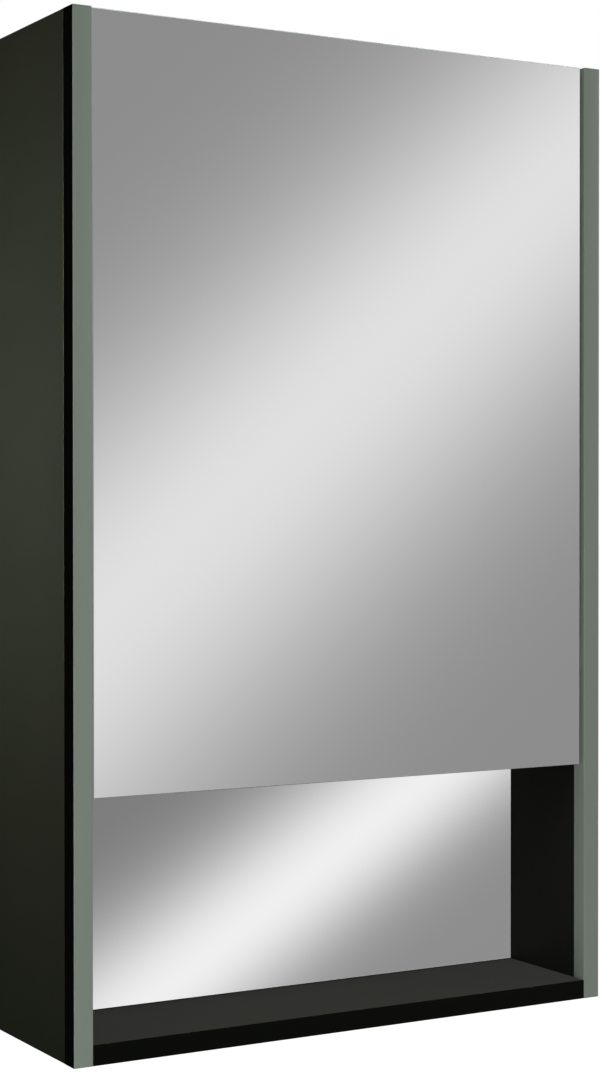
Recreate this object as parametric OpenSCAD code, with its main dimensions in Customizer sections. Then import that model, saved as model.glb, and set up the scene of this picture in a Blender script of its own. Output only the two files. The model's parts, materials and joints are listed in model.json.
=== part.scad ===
// Wall-hung bathroom mirror cabinet: one mirrored door above an open, mirror-backed niche.
// Millimetres. X runs right, Y runs back to the wall and Z runs up.
// The origin lies on the wall, midway between the two screw holes of the hanging rail.

/* [Cabinet] */
// overall width
cabinet_w = 500; // [460:5:560]
// overall height
cabinet_h = 800; // [760:5:860]
// overall depth, front plane to wall
cabinet_d = 150; // [145:1:170]
// thickness of the carcass boards
board_t = 16; // [16:1:19]
// height of the hanging rail's holes above the cabinet's underside
hang_h = 740; // [700:5:745]

/* [Door and niche] */
// height of the door's lower edge above the cabinet's underside
door_bottom_h = 202; // [190:1:230]
// board behind the door mirror
door_board_t = 16; // [16:1:18]
// thickness of every mirror pane
mirror_t = 4; // [4:1:5]
// gap between the door and the left edge profile
gap_free_side = 1; // [1:0.5:3]
// gap between the door and the right edge profile, where the hinges are
gap_hinge_side = 3; // [3:0.1:4.5]
// how far the door's face sits behind the fronts of the edge profiles
door_recess = 2; // [0:0.5:3]
// depth of the niche, from the front plane to its mirror
niche_depth = 104; // [95:1:110]
// how far the door hangs below the underside of the cupboard floor, to be gripped
door_overhang = 12; // [8:1:16]

/* [Shelves] */
// which hole of the shelf rows each glass shelf's pins sit in, counted from 0
shelf_rows = [2, 8]; // [0:12]
// thickness of the shelf glass
shelf_t = 5; // [4:1:6]

/* [Output] */
// one node's name, or "all"

/* [Hidden] */
$fn = 48;
slack = 0.05;
reach = 1;
half_w = cabinet_w / 2;
inner_x = half_w - board_t;
front_y = -cabinet_d;

// metal edge profile, a U over the side board's front edge
profile_wall = 1.2;
profile_face_t = 1.5;
outer_flange = 17;
inner_flange = 13.6;

// thin back panel and its groove
back_t = 3;
back_y = -26;
groove_depth = 8;
groove_slack = 0.1;

// door
door_x0 = -inner_x + gap_free_side;
door_x1 = inner_x - gap_hinge_side;
door_w = door_x1 - door_x0;
door_h = cabinet_h - door_bottom_h;
door_front_y = front_y + door_recess;
door_back_y = door_front_y + mirror_t + door_board_t;
band_t = 0.8;
bumper_t = 3.4;
panel_front_y = door_back_y + bumper_t + 0.2;

// cupboard floor
floor_h = door_bottom_h + door_overhang;

// niche
niche_mirror_y = front_y + niche_depth;
niche_board_y = niche_mirror_y + mirror_t;

// cranked pivot hinges: the pin's place is measured from the door's edge and its front
pin_from_edge = 9;
pin_from_front = 8;
pin_x = door_x1 - pin_from_edge;
pin_y = door_front_y + pin_from_front;
pin_r = 1.5;
pin_fit = 0.05;
eye_r = 3.2;
arm_t = 3.2;
arm_half_h = 5;
arm_leaf_t = 2.4;
arm_reach_y = door_back_y + bumper_t + 0.4;
arm_leaf_y1 = pin_y + 66;
socket_half_h = 12;
socket_in = 6;
socket_corner = 3;
socket_floor = 0.5;
socket_flange_w = 20;
socket_flange_t = 1.5;
pin_l = 2 * socket_half_h - 3;
hinge_heights = [door_bottom_h + 95, cabinet_h - 96];

// board joints: cam, bolt and dowel positions along the depth
cam_y = [-108, -44];
dowel_y = -76;
joint_heights = [board_t / 2, floor_h + board_t / 2, cabinet_h - board_t / 2];
cam_r = 7.5;
cam_depth = 12.5;
cam_in = 24;
bolt_r = 3.5;
bolt_thread_r = 2.5;
bolt_thread_l = 10.5;
dowel_r = 4;
dowel_side = 12;
dowel_panel = 18;

// wood screws for boards and for small fittings: shank, head, and the pilot holes' depths
screw_r = 1.8;
screw_head_r = 3.6;
screw_head_h = 2;
pilot_depth = 13;
small_screw_r = 1.5;
small_head_r = 3;
small_head_h = 1.8;
small_pilot_depth = 12;

// shelf pins, in a 32 mm row of holes
pin_rows_y = [-104, -46];
row_first_h = 329;
row_step = 32;
row_count = 13;
row_hole_r = 2.5;
row_hole_depth = 9;
shelf_heights = [for (i = shelf_rows) row_first_h + i * row_step + row_hole_r];
shelf_y0 = -118;
shelf_y1 = -29;

// hanging rail and hangers
rail_l = 456;
rail_t = 2;
rail_hole_r = 3.5;
rail_spacing = 320;
rail_low = -20;
rail_step_z = 10;
rail_lip_z = 24;
rail_stand = 8;
hook_x = 222;
hook_t = 3;
hanger_x0 = 208;
hanger_y0 = -72;
hanger_z0 = 1.5;
hanger_z1 = 42;
hanger_wall = 1.5;
hanger_screw_x = 215.5;
hanger_screw_y = -50;
hanger_fixing_y = [-62, -38];
hanger_fixing_z = 30;

board_c = [0.16, 0.17, 0.16];
band_c = [0.06, 0.06, 0.06];
metal_c = [0.45, 0.48, 0.45];
mirror_c = [0.78, 0.81, 0.80];
glass_c = [0.62, 0.80, 0.74, 0.5];
back_c = [0.30, 0.30, 0.29];
nickel_c = [0.70, 0.70, 0.68];
zinc_c = [0.58, 0.59, 0.60];
beech_c = [0.80, 0.66, 0.48];
plastic_c = [0.72, 0.73, 0.72];
rubber_c = [0.85, 0.87, 0.87];
magnet_c = [0.20, 0.20, 0.21];

// height above the cabinet's underside, as a Z of the row frame
function up(h) = h - hang_h;

// a box between two corners
module block(a, b) {
    translate(a) cube(b - a);
}

// a round bar along X, Y or Z, from a point
module bar(p, r, l, along = "z") {
    turn = along == "x" ? [0, 90, 0] : along == "y" ? [-90, 0, 0] : [0, 0, 0];
    translate(p) rotate(turn) cylinder(r = r, h = l);
}

// a rectangle between two corners, with its own corners rounded
module rounded_rect(a, b, r) {
    for (x = [a.x + r, b.x - r], y = [a.y + r, b.y - r]) translate([x, y]) circle(r);
    translate([a.x + r, a.y]) square([b.x - a.x - 2 * r, b.y - a.y]);
    translate([a.x, a.y + r]) square([b.x - a.x, b.y - a.y - 2 * r]);
}

// the sliver between a square corner and a round one: taken off an outer corner, or added in an inner one
// turn is the direction of the corner's bisector, in degrees: 45, 135, 225 or 315
module corner_sliver(p, turn, r) {
    translate(p) rotate(turn - 45) difference() {
        translate([-0.01, -0.01]) square(r + 0.01);
        translate([r, r]) circle(r);
    }
}

// a slot along the first axis: two round ends and the straight between them
module slot_outline(p, r, l) {
    for (x = [-l / 2, l / 2]) translate([p.x + x, p.y]) circle(r);
    translate([p.x - l / 2, p.y - r]) square([l, 2 * r]);
}

// a low dome of a given base radius and height, on the plane z = 0
module dome(base_r, h, ball_r) {
    intersection() {
        cylinder(r = base_r, h = h);
        translate([0, 0, h - ball_r]) sphere(ball_r);
    }
}

// pan-head wood screw with a cross slot; its head stands on the plane z = 0 and the shank runs down
module wood_screw(shank_r, length, head_r, head_h) {
    difference() {
        union() {
            dome(head_r, head_h, head_r * 1.5);
            translate([0, 0, -length]) cylinder(r = shank_r, h = length);
            translate([0, 0, -length - shank_r]) cylinder(r1 = 0.3, r2 = shank_r, h = shank_r);
        }
        cross_recess(head_r * 0.6, 0.5, head_h - 1, head_h + reach);
    }
}

// cross for a screwdriver, cut between two heights
module cross_recess(half_l, half_w, low, high) {
    for (a = [0, 90]) rotate(a) block([-half_l, -half_w, low], [half_l, half_w, high]);
}

// ---- carcass boards ----

// holes that the cams' bolts and the dowels need in a side board, for a panel whose middle is at height h
module side_joint_holes(h) {
    for (y = cam_y) side_hole(y, up(h), bolt_thread_r + slack, bolt_thread_l + slack);
    side_hole(dowel_y, up(h), dowel_r + slack, dowel_side + slack);
}

// a hole bored into the right side board from its inner face
module side_hole(y, z, r, depth) {
    bar([inner_x - reach, y, z], r, depth + reach, "x");
}

module side_board() {
    z0 = up(0);
    difference() {
        block([inner_x, front_y + profile_face_t + slack, z0], [half_w, 0, z0 + cabinet_h]);
        // rebates under the edge profile's two flanges
        block([half_w - profile_wall - slack, front_y, z0 - reach],
              [half_w + reach, front_y + outer_flange + slack, z0 + cabinet_h + reach]);
        block([inner_x - reach, front_y, z0 - reach],
              [inner_x + profile_wall + slack, front_y + inner_flange + slack, z0 + cabinet_h + reach]);
        // groove for the back panel
        block([inner_x - reach, back_y - groove_slack, z0 - reach],
              [inner_x + groove_depth, back_y + back_t + groove_slack, z0 + cabinet_h + reach]);
        for (h = joint_heights) side_joint_holes(h);
        for (y = pin_rows_y, i = [0 : row_count - 1]) {
            side_hole(y, up(row_first_h + i * row_step), row_hole_r, row_hole_depth);
        }
        for (y = hanger_fixing_y) side_hole(y, hanger_fixing_z, screw_r + slack, pilot_depth);
    }
}

// pilot holes for the hinge arms' screws, in the right side only
module hinge_pilots() {
    for (h = hinge_heights, y = arm_screw_y) side_hole(y, up(h), screw_r + slack, pilot_depth);
}

module side_panel_left() {
    color(board_c) mirror([1, 0, 0]) side_board();
}

module side_panel_right() {
    color(board_c) difference() {
        side_board();
        hinge_pilots();
    }
}

// U profile: face on the front plane, deeper flange outside
module edge_profile() {
    corner = 0.8;
    lip = 0.4;
    color(metal_c) translate([0, 0, up(0)]) linear_extrude(cabinet_h) difference() {
        polygon([
            [inner_x + lip, front_y + inner_flange],
            [inner_x, front_y + inner_flange - lip],
            [inner_x, front_y],
            [half_w, front_y],
            [half_w, front_y + outer_flange - lip],
            [half_w - lip, front_y + outer_flange],
            [half_w - profile_wall, front_y + outer_flange],
            [half_w - profile_wall, front_y + profile_face_t],
            [inner_x + profile_wall, front_y + profile_face_t],
            [inner_x + profile_wall, front_y + inner_flange]
        ]);
        corner_sliver([inner_x, front_y], 45, corner);
        corner_sliver([half_w, front_y], 135, corner);
    }
}

module edge_profile_left() {
    mirror([1, 0, 0]) edge_profile();
}

module edge_profile_right() {
    edge_profile();
}

// cam bores, bolt channels and dowel holes at both ends of a panel
// open_h is the height of the face that the cam bores open on, and sense says which way they go in
module panel_joints(mid_h, open_h, sense) {
    for (side = [0, 1]) mirror([side, 0, 0]) {
        for (y = cam_y) {
            translate([inner_x - cam_in, y, up(open_h)]) mirror([0, 0, sense > 0 ? 0 : 1])
                translate([0, 0, -reach]) cylinder(r = cam_r, h = cam_depth + reach);
            bar([inner_x - cam_in, y, up(mid_h)], bolt_r + slack, cam_in + reach, "x");
        }
        bar([inner_x - dowel_panel, dowel_y, up(mid_h)], dowel_r + slack, dowel_panel + reach, "x");
    }
}

module top_panel() {
    h0 = cabinet_h - board_t;
    color(board_c) difference() {
        block([-inner_x, panel_front_y + band_t, up(h0)], [inner_x, 0, up(cabinet_h)]);
        block([-inner_x - reach, back_y - groove_slack, up(h0) - reach],
              [inner_x + reach, back_y + back_t + groove_slack, up(h0) + groove_depth]);
        panel_joints(h0 + board_t / 2, cabinet_h, -1);
        for (x = catch_screw_x) {
            bar([x, catch_screw_y, up(h0) - reach], small_screw_r + slack, small_pilot_depth + reach);
        }
    }
}

module middle_panel() {
    color(board_c) difference() {
        block([-inner_x, panel_front_y + band_t, up(floor_h)], [inner_x, back_y, up(floor_h + board_t)]);
        panel_joints(floor_h + board_t / 2, floor_h + board_t, -1);
    }
}

module bottom_panel() {
    color(board_c) difference() {
        block([-inner_x, front_y + band_t, up(0)], [inner_x, 0, up(board_t)]);
        block([-inner_x - reach, back_y - groove_slack, up(board_t) - groove_depth],
              [inner_x + reach, back_y + back_t + groove_slack, up(board_t) + reach]);
        panel_joints(board_t / 2, 0, 1);
    }
}

// strip of edging on a panel's front edge
module edge_band(front, h0) {
    color(band_c) block([-inner_x, front, up(h0)], [inner_x, front + band_t, up(h0 + board_t)]);
}

module top_edge_band() {
    edge_band(panel_front_y, cabinet_h - board_t);
}

module middle_edge_band() {
    edge_band(panel_front_y, floor_h);
}

module bottom_edge_band() {
    edge_band(front_y, 0);
}

// ---- back ----

back_screw_x = [-170, 0, 170];
back_screw_h = [50, 170];
// what the screws' holes leave of the board behind the niche mirror
back_screw_skin = 3;
// slots that the hanger hooks pass through: their middle's height, end radius and length between the ends
hook_slot_z = 24;
hook_slot_r = 6;
hook_slot_l = 20;

module back_panel() {
    edge = groove_depth - 0.5;
    color(back_c) difference() {
        block([-inner_x - edge, back_y, up(board_t - edge)],
              [inner_x + edge, back_y + back_t, up(cabinet_h - board_t + edge)]);
        for (side = [0, 1]) mirror([side, 0, 0]) {
            translate([hook_x, back_y - reach, hook_slot_z]) rotate([-90, 90, 0])
                linear_extrude(back_t + 2 * reach) slot_outline([0, 0], hook_slot_r, hook_slot_l);
        }
        for (x = back_screw_x, h = back_screw_h) {
            bar([x, back_y - reach, up(h)], screw_r + slack, back_t + 2 * reach, "y");
        }
    }
}

module back_panel_screws() {
    color(zinc_c) for (x = back_screw_x, h = back_screw_h) {
        translate([x, back_y + back_t, up(h)]) rotate([-90, 0, 0])
            wood_screw(screw_r, 12, screw_head_r, screw_head_h);
    }
}

module niche_back_board() {
    color(board_c) difference() {
        block([-inner_x, niche_board_y, up(board_t)], [inner_x, back_y, up(floor_h)]);
        for (x = back_screw_x, h = back_screw_h) {
            bar([x, niche_board_y + back_screw_skin, up(h)], screw_r + slack, back_y - niche_board_y, "y");
        }
    }
}

module niche_mirror() {
    margin = 0.5;
    color(mirror_c) block([-inner_x + margin, niche_mirror_y, up(board_t + margin)],
                          [inner_x - margin, niche_board_y, up(floor_h - margin)]);
}

// ---- cam fittings ----

// calls its children once at each cam: at the bolt's axis, turned so that +X points to the side board
module at_cams() {
    for (h = joint_heights, side = [0, 1], y = cam_y) mirror([side, 0, 0]) {
        translate([inner_x - cam_in, y, up(h)]) mirror([0, 0, h == joint_heights[0] ? 1 : 0]) children();
    }
}

module cam_locks() {
    r = cam_r - slack;
    top = board_t / 2 - 0.1;
    low = board_t / 2 - cam_depth + 0.2;
    rim = 0.4;
    // room for the bolt's head and neck
    room = bolt_r + 0.1;
    room_in = 4.2;
    color(zinc_c) at_cams() difference() {
        rotate_extrude() polygon([
            [0, low], [r - rim, low], [r, low + rim],
            [r, top - rim], [r - rim, top], [0, top]
        ]);
        block([-room_in, -room, -room], [r + reach, room, room]);
        cross_recess(4, 0.6, top - 2.3, top + reach);
    }
}

module cam_bolts() {
    head_x = -1.5;
    neck_x = 1.5;
    neck_r = 2;
    stem_x = 7.5;
    color(nickel_c) at_cams() {
        bar([head_x, 0, 0], bolt_r - 0.2, neck_x - head_x, "x");
        bar([neck_x, 0, 0], neck_r, stem_x - neck_x, "x");
        bar([stem_x, 0, 0], bolt_r - 0.1, cam_in - stem_x, "x");
        bar([cam_in, 0, 0], bolt_thread_r, bolt_thread_l, "x");
    }
}

// beech dowel with chamfered ends and glue flutes, along Z from the origin
module dowel(l) {
    chamfer = 1;
    flutes = 8;
    flute_r = 0.6;
    flute_x = dowel_r + 0.2;
    difference() {
        rotate_extrude() polygon([
            [0, 0], [dowel_r - chamfer, 0], [dowel_r, chamfer],
            [dowel_r, l - chamfer], [dowel_r - chamfer, l], [0, l]
        ]);
        for (i = [0 : flutes - 1]) rotate(i * 360 / flutes) bar([flute_x, 0, -reach], flute_r, l + 2 * reach);
    }
}

module dowels() {
    // free length at each end of the hole, where the glue gathers
    glue_gap = 0.5;
    color(beech_c) for (h = joint_heights, side = [0, 1]) mirror([side, 0, 0]) {
        translate([inner_x - dowel_panel + glue_gap, dowel_y, up(h)]) rotate([0, 90, 0])
            dowel(dowel_panel + dowel_side - 2 * glue_gap);
    }
}

// ---- glass shelves ----

module glass_shelf(h) {
    corner = 8;
    side_gap = 1.5;
    half = inner_x - side_gap;
    color(glass_c) translate([0, 0, up(h)]) linear_extrude(shelf_t) union() {
        translate([-half, shelf_y0 + corner]) square([2 * half, shelf_y1 - shelf_y0 - corner]);
        translate([-half + corner, shelf_y0]) square([2 * (half - corner), corner]);
        for (x = [-half + corner, half - corner]) translate([x, shelf_y0 + corner]) circle(corner);
    }
}

// pin with a collar and a flat tongue, level with the shelf's underside
module shelf_pins(h) {
    tongue_l = 9;
    tongue_t = 1.6;
    tongue_r = 3.5;
    collar_r = 4;
    collar_t = 1.3;
    collar_rim = 0.4;
    pin = row_hole_r - slack;
    pin_l = row_hole_depth - 0.6;
    pin_nose = 0.7;
    color(nickel_c) for (side = [0, 1], y = pin_rows_y) mirror([side, 0, 0]) {
        translate([inner_x, y, up(h) - row_hole_r]) {
            difference() {
                rotate([0, 90, 0]) rotate_extrude() polygon([
                    [0, -collar_t], [collar_r - collar_rim, -collar_t], [collar_r, collar_rim - collar_t],
                    [collar_r, -slack], [pin, -slack],
                    [pin, pin_l - pin_nose], [pin - pin_nose, pin_l], [0, pin_l]
                ]);
                // the collar is cut level with the tongue
                block([-collar_t - reach, -collar_r, row_hole_r], [slack, collar_r, collar_r + reach]);
            }
            translate([tongue_r - tongue_l, 0, row_hole_r - tongue_t]) linear_extrude(tongue_t) union() {
                translate([0, -tongue_r]) square([tongue_l - tongue_r - 1, 2 * tongue_r]);
                circle(tongue_r);
            }
        }
    }
}

module glass_shelf_lower() {
    glass_shelf(shelf_heights[0]);
}

module glass_shelf_upper() {
    glass_shelf(shelf_heights[1]);
}

module shelf_pins_lower() {
    shelf_pins(shelf_heights[0]);
}

module shelf_pins_upper() {
    shelf_pins(shelf_heights[1]);
}

// ---- door ----

// mortise that the hinge socket is let into
module socket_mortise(h) {
    translate([0, door_back_y + reach, up(h)]) rotate([90, 0, 0]) linear_extrude(door_board_t + 2 * reach)
        socket_outline(slack, reach);
}

// outline of the socket seen from behind: round where the router turned, square at the door's edge
module socket_outline(grow, past) {
    x0 = pin_x - socket_in - grow;
    half = socket_half_h + grow;
    r = socket_corner + grow;
    rounded_rect([x0, -half], [door_x1 - 1, half], r);
    translate([x0 + r, -half]) square([door_x1 + past - x0 - r, 2 * half]);
}

module door_panel() {
    color(board_c) difference() {
        block([door_x0 + band_t, door_front_y + mirror_t, up(door_bottom_h) + band_t],
              [door_x1 - band_t, door_back_y, up(door_bottom_h + door_h) - band_t]);
        for (h = hinge_heights) {
            socket_mortise(h);
            for (z = socket_screw_z) door_pilot(socket_screw_x, up(h) + z);
        }
        door_pilot(strike_x, strike_z);
    }
}

// pilot hole for a small screw, bored from the back of the door board
module door_pilot(x, z) {
    bar([x, door_back_y - small_pilot_depth, z], small_screw_r + slack, small_pilot_depth + reach, "y");
}

module door_edge_band() {
    color(band_c) difference() {
        block([door_x0, door_front_y + mirror_t, up(door_bottom_h)],
              [door_x1, door_back_y, up(door_bottom_h + door_h)]);
        block([door_x0 + band_t, front_y, up(door_bottom_h) + band_t],
              [door_x1 - band_t, 0, up(door_bottom_h + door_h) - band_t]);
        for (h = hinge_heights) socket_mortise(h);
    }
}

// pane with a ground arris around its front face
module door_mirror() {
    arris = 0.8;
    z0 = up(door_bottom_h);
    color(mirror_c) intersection() {
        translate([0, 0, z0]) linear_extrude(door_h) polygon([
            [door_x0, door_front_y + mirror_t],
            [door_x0, door_front_y + arris],
            [door_x0 + arris, door_front_y],
            [door_x1 - arris, door_front_y],
            [door_x1, door_front_y + arris],
            [door_x1, door_front_y + mirror_t]
        ]);
        translate([door_x0 - reach, 0, 0]) rotate([90, 0, 90]) linear_extrude(door_w + 2 * reach) polygon([
            [door_front_y + mirror_t, z0],
            [door_front_y + arris, z0],
            [door_front_y, z0 + arris],
            [door_front_y, z0 + door_h - arris],
            [door_front_y + arris, z0 + door_h],
            [door_front_y + mirror_t, z0 + door_h]
        ]);
    }
}

// soft domes that the door closes against
module door_bumpers() {
    r = 5;
    rim = 0.4;
    crown = bumper_t - rim;
    ball_r = (r * r + crown * crown) / (2 * crown);
    from_side = 12;
    color(rubber_c) for (h = [joint_heights[1], joint_heights[2]]) {
        translate([from_side - inner_x, panel_front_y, up(h)]) rotate([90, 0, 0]) dome(r, bumper_t, ball_r);
    }
}

// ---- magnetic catch near the door's free edge ----

catch_x = -150;
catch_half_w = 11;
catch_wall = 3;
catch_ear = 12;
catch_z1 = up(cabinet_h - board_t);
catch_z0 = catch_z1 - 14;
catch_y0 = door_back_y + 2.2;
catch_y1 = catch_y0 + 16;
catch_screw_x = [catch_x - 16, catch_x + 16];
catch_screw_y = catch_y0 + 9;
magnet_half_w = catch_half_w - catch_wall;
magnet_l = 11;
strike_x = catch_x;
strike_z = (catch_z0 + catch_z1) / 2;
strike_half = [17, 6];
strike_t = 1.2;

// moulded holder: a rounded box with an ear on each side and a web under each ear
module catch_body() {
    body_corner = 2;
    ear_corner = 5;
    ear_y = [catch_y0 + 3, catch_y1 - 1];
    ear_half_w = catch_half_w + catch_ear;
    web_t = 1.5;
    web = 6;
    color(plastic_c) difference() {
        union() {
            translate([catch_x, 0, catch_z0]) linear_extrude(catch_z1 - catch_z0)
                rounded_rect([-catch_half_w, catch_y0], [catch_half_w, catch_y1], body_corner);
            translate([catch_x, 0, catch_z1 - catch_wall]) linear_extrude(catch_wall)
                rounded_rect([-ear_half_w, ear_y[0]], [ear_half_w, ear_y[1]], ear_corner);
            for (side = [0, 1]) translate([catch_x, ear_y[1], catch_z1 - catch_wall]) mirror([side, 0, 0])
                rotate([90, 0, 0]) linear_extrude(web_t)
                    polygon([[catch_half_w - 1, 0], [catch_half_w + web, 0], [catch_half_w - 1, -web - 1]]);
        }
        block([catch_x - magnet_half_w, catch_y0 - reach, catch_z0 + catch_wall],
              [catch_x + magnet_half_w, catch_y0 + magnet_l, catch_z1 - catch_wall]);
        // long holes, so that the catch can be set in and out
        for (x = catch_screw_x) translate([x, catch_screw_y, catch_z1 - catch_wall - reach]) rotate(90)
            linear_extrude(catch_wall + 2 * reach) slot_outline([0, 0], small_screw_r + 0.15, 2);
    }
}

module catch_magnet() {
    proud = 0.5;
    color(magnet_c) block([catch_x - magnet_half_w, catch_y0 - proud, catch_z0 + catch_wall],
                          [catch_x + magnet_half_w, catch_y0 + magnet_l, catch_z1 - catch_wall]);
}

module catch_screws() {
    color(zinc_c) for (x = catch_screw_x) {
        translate([x, catch_screw_y, catch_z1 - catch_wall]) rotate([180, 0, 0])
            wood_screw(small_screw_r, 10, small_head_r, small_head_h);
    }
}

// places its children on the strike plate's face, with +Z into the door
module at_strike() {
    translate([strike_x, door_back_y + strike_t, strike_z]) rotate([90, 0, 0]) children();
}

module strike_plate() {
    color(nickel_c) at_strike() difference() {
        linear_extrude(strike_t) rounded_rect(-strike_half, strike_half, 4);
        cylinder(r1 = small_head_r + 0.1, r2 = small_screw_r + 0.1, h = strike_t + 0.1);
    }
}

// countersunk screw, level with the plate
module strike_screw() {
    color(zinc_c) at_strike() difference() {
        union() {
            cylinder(r1 = small_head_r, r2 = small_screw_r, h = strike_t + 0.05);
            cylinder(r = small_screw_r, h = 11);
        }
        cross_recess(1.8, 0.4, -reach, 0.6);
    }
}

// ---- cranked pivot hinges ----

arm_screw_y = [pin_y + 38, pin_y + 58];
socket_screw_x = pin_x - socket_in - 13;
socket_screw_z = [-7, 7];

// door half: a block let into the door's edge, with a slot for the arm and a flange for two screws
module hinge_socket(h) {
    flange_x0 = pin_x - socket_in - socket_flange_w;
    flange_x1 = pin_x - socket_in + 3;
    flange_y = door_back_y + socket_flange_t;
    flange_corner = 2.5;
    eye_gap = 0.4;
    arm_gap = 0.3;
    color(zinc_c) translate([0, 0, up(h)]) difference() {
        union() {
            translate([0, door_back_y, 0]) rotate([90, 0, 0]) linear_extrude(door_board_t)
                socket_outline(0, 0);
            translate([0, flange_y, 0]) rotate([90, 0, 0]) linear_extrude(socket_flange_t)
                rounded_rect([flange_x0, -socket_half_h], [flange_x1, socket_half_h], flange_corner);
        }
        // slot, open at the back and at the edge
        block([pin_x - eye_r - eye_gap, door_front_y + mirror_t + socket_floor, -arm_half_h - arm_gap],
              [door_x1 + reach, flange_y + reach, arm_half_h + arm_gap]);
        bar([pin_x, pin_y, -pin_l / 2], pin_r, pin_l);
        for (z = socket_screw_z) bar([socket_screw_x, door_back_y - reach, z], small_screw_r + 0.15, 5, "y");
    }
}

module hinge_pin(h) {
    nose = 0.4;
    color(nickel_c) translate([pin_x, pin_y, up(h) - pin_l / 2]) rotate_extrude() polygon([
        [0, 0], [pin_r - nose, 0], [pin_r, nose],
        [pin_r, pin_l - nose], [pin_r - nose, pin_l], [0, pin_l]
    ]);
}

// the arm seen from above: eye, neck straight back, crank over the door's swing, and the leaf's edge
module arm_outline() {
    bend_in = 1;
    bend_out = 3;
    neck_x0 = pin_x - arm_t / 2;
    crank_y1 = arm_reach_y + arm_t;
    difference() {
        union() {
            translate([pin_x, pin_y]) circle(eye_r);
            translate([neck_x0, pin_y]) square([arm_t, crank_y1 - pin_y]);
            translate([neck_x0, arm_reach_y]) square([inner_x - neck_x0, arm_t]);
            translate([inner_x - arm_leaf_t, arm_reach_y]) square([arm_leaf_t, arm_screw_y[1] - arm_reach_y]);
            corner_sliver([neck_x0 + arm_t, arm_reach_y], 315, bend_in);
            corner_sliver([inner_x - arm_leaf_t, crank_y1], 135, bend_in);
        }
        corner_sliver([neck_x0, crank_y1], 315, bend_out);
        corner_sliver([inner_x, arm_reach_y], 135, bend_out);
    }
}

// carcass half of the hinge: a cranked strip, with a wider rounded leaf that has a round and a long hole
module hinge_arm(h) {
    leaf_half = 9;
    leaf_corner = 5;
    leaf_end = 8;
    hole_r = screw_r + 0.2;
    leaf_x = inner_x - arm_leaf_t;
    through = arm_leaf_t + 2 * reach;
    color(nickel_c) translate([0, 0, up(h)]) difference() {
        union() {
            translate([0, 0, -arm_half_h]) linear_extrude(2 * arm_half_h) arm_outline();
            translate([leaf_x, 0, 0]) rotate([90, 0, 90]) linear_extrude(arm_leaf_t)
                rounded_rect([arm_screw_y[0] - leaf_end, -leaf_half], [arm_leaf_y1, leaf_half], leaf_corner);
        }
        bar([pin_x, pin_y, -arm_half_h - reach], pin_r + pin_fit, 2 * arm_half_h + 2 * reach);
        bar([leaf_x - reach, arm_screw_y[1], 0], hole_r, through, "x");
        translate([leaf_x - reach, 0, 0]) rotate([90, 0, 90]) linear_extrude(through)
            slot_outline([arm_screw_y[0], 0], hole_r, 3);
    }
}

module hinge_arm_screws(h) {
    color(zinc_c) for (y = arm_screw_y) {
        translate([inner_x - arm_leaf_t, y, up(h)]) rotate([0, -90, 0])
            wood_screw(screw_r, 13, screw_head_r, screw_head_h);
    }
}

module hinge_socket_screws(h) {
    color(zinc_c) for (z = socket_screw_z) {
        translate([socket_screw_x, door_back_y + socket_flange_t, up(h) + z]) rotate([-90, 0, 0])
            wood_screw(small_screw_r, 11, small_head_r, small_head_h);
    }
}

module hinge_socket_lower() {
    hinge_socket(hinge_heights[0]);
}

module hinge_socket_upper() {
    hinge_socket(hinge_heights[1]);
}

module hinge_pin_lower() {
    hinge_pin(hinge_heights[0]);
}

module hinge_pin_upper() {
    hinge_pin(hinge_heights[1]);
}

module hinge_arm_lower() {
    hinge_arm(hinge_heights[0]);
}

module hinge_arm_upper() {
    hinge_arm(hinge_heights[1]);
}

module hinge_arm_screws_lower() {
    hinge_arm_screws(hinge_heights[0]);
}

module hinge_arm_screws_upper() {
    hinge_arm_screws(hinge_heights[1]);
}

module hinge_socket_screws_lower() {
    hinge_socket_screws(hinge_heights[0]);
}

module hinge_socket_screws_upper() {
    hinge_socket_screws(hinge_heights[1]);
}

// ---- hanging rail and hangers ----

// the rail's section: flat on the wall, a step out, and a lip that stands off the wall
module rail_outline() {
    bend_in = 1;
    bend_out = bend_in + rail_t;
    step_top = rail_step_z + rail_t;
    lip_back = -rail_stand + rail_t;
    difference() {
        union() {
            translate([-rail_t, rail_low]) square([rail_t, step_top - rail_low]);
            translate([-rail_stand, rail_step_z]) square([rail_stand, rail_t]);
            translate([-rail_stand, rail_step_z]) square([rail_t, rail_lip_z - rail_step_z]);
            corner_sliver([-rail_t, rail_step_z], 225, bend_in);
            corner_sliver([lip_back, step_top], 45, bend_in);
        }
        corner_sliver([0, step_top], 225, bend_out);
        corner_sliver([-rail_stand, rail_step_z], 45, bend_out);
        corner_sliver([-rail_stand, rail_lip_z], 315, 0.6);
        corner_sliver([lip_back, rail_lip_z], 225, 0.6);
    }
}

// rolled steel strip that is screwed to the wall
module wall_rail() {
    color(zinc_c) difference() {
        translate([-rail_l / 2, 0, 0]) rotate([90, 0, 90]) linear_extrude(rail_l) rail_outline();
        for (x = [-rail_spacing / 2, rail_spacing / 2]) {
            bar([x, -rail_t - reach, 0], rail_hole_r, rail_t + 2 * reach, "y");
        }
    }
}

nut_z0 = 18;
nut_z1 = 28;
height_thread_r = 2.2;
height_neck_r = 2.6;

// the housing seen from the side, larger by grow all round; its front corners are round
module hanger_outline(grow, y_end) {
    a = [hanger_y0 - grow, hanger_z0 - grow];
    b = [y_end, hanger_z1 + grow];
    difference() {
        translate(a) square(b - a);
        corner_sliver(a, 45, 10 + grow);
        corner_sliver([a.x, b.y], 315, 4 + grow);
    }
}

// a solid with that outline, between two places across the cabinet
module hanger_slab(x0, x1, grow, y_end) {
    translate([x0, 0, 0]) rotate([90, 0, 90]) linear_extrude(x1 - x0) hanger_outline(grow, y_end);
}

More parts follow.
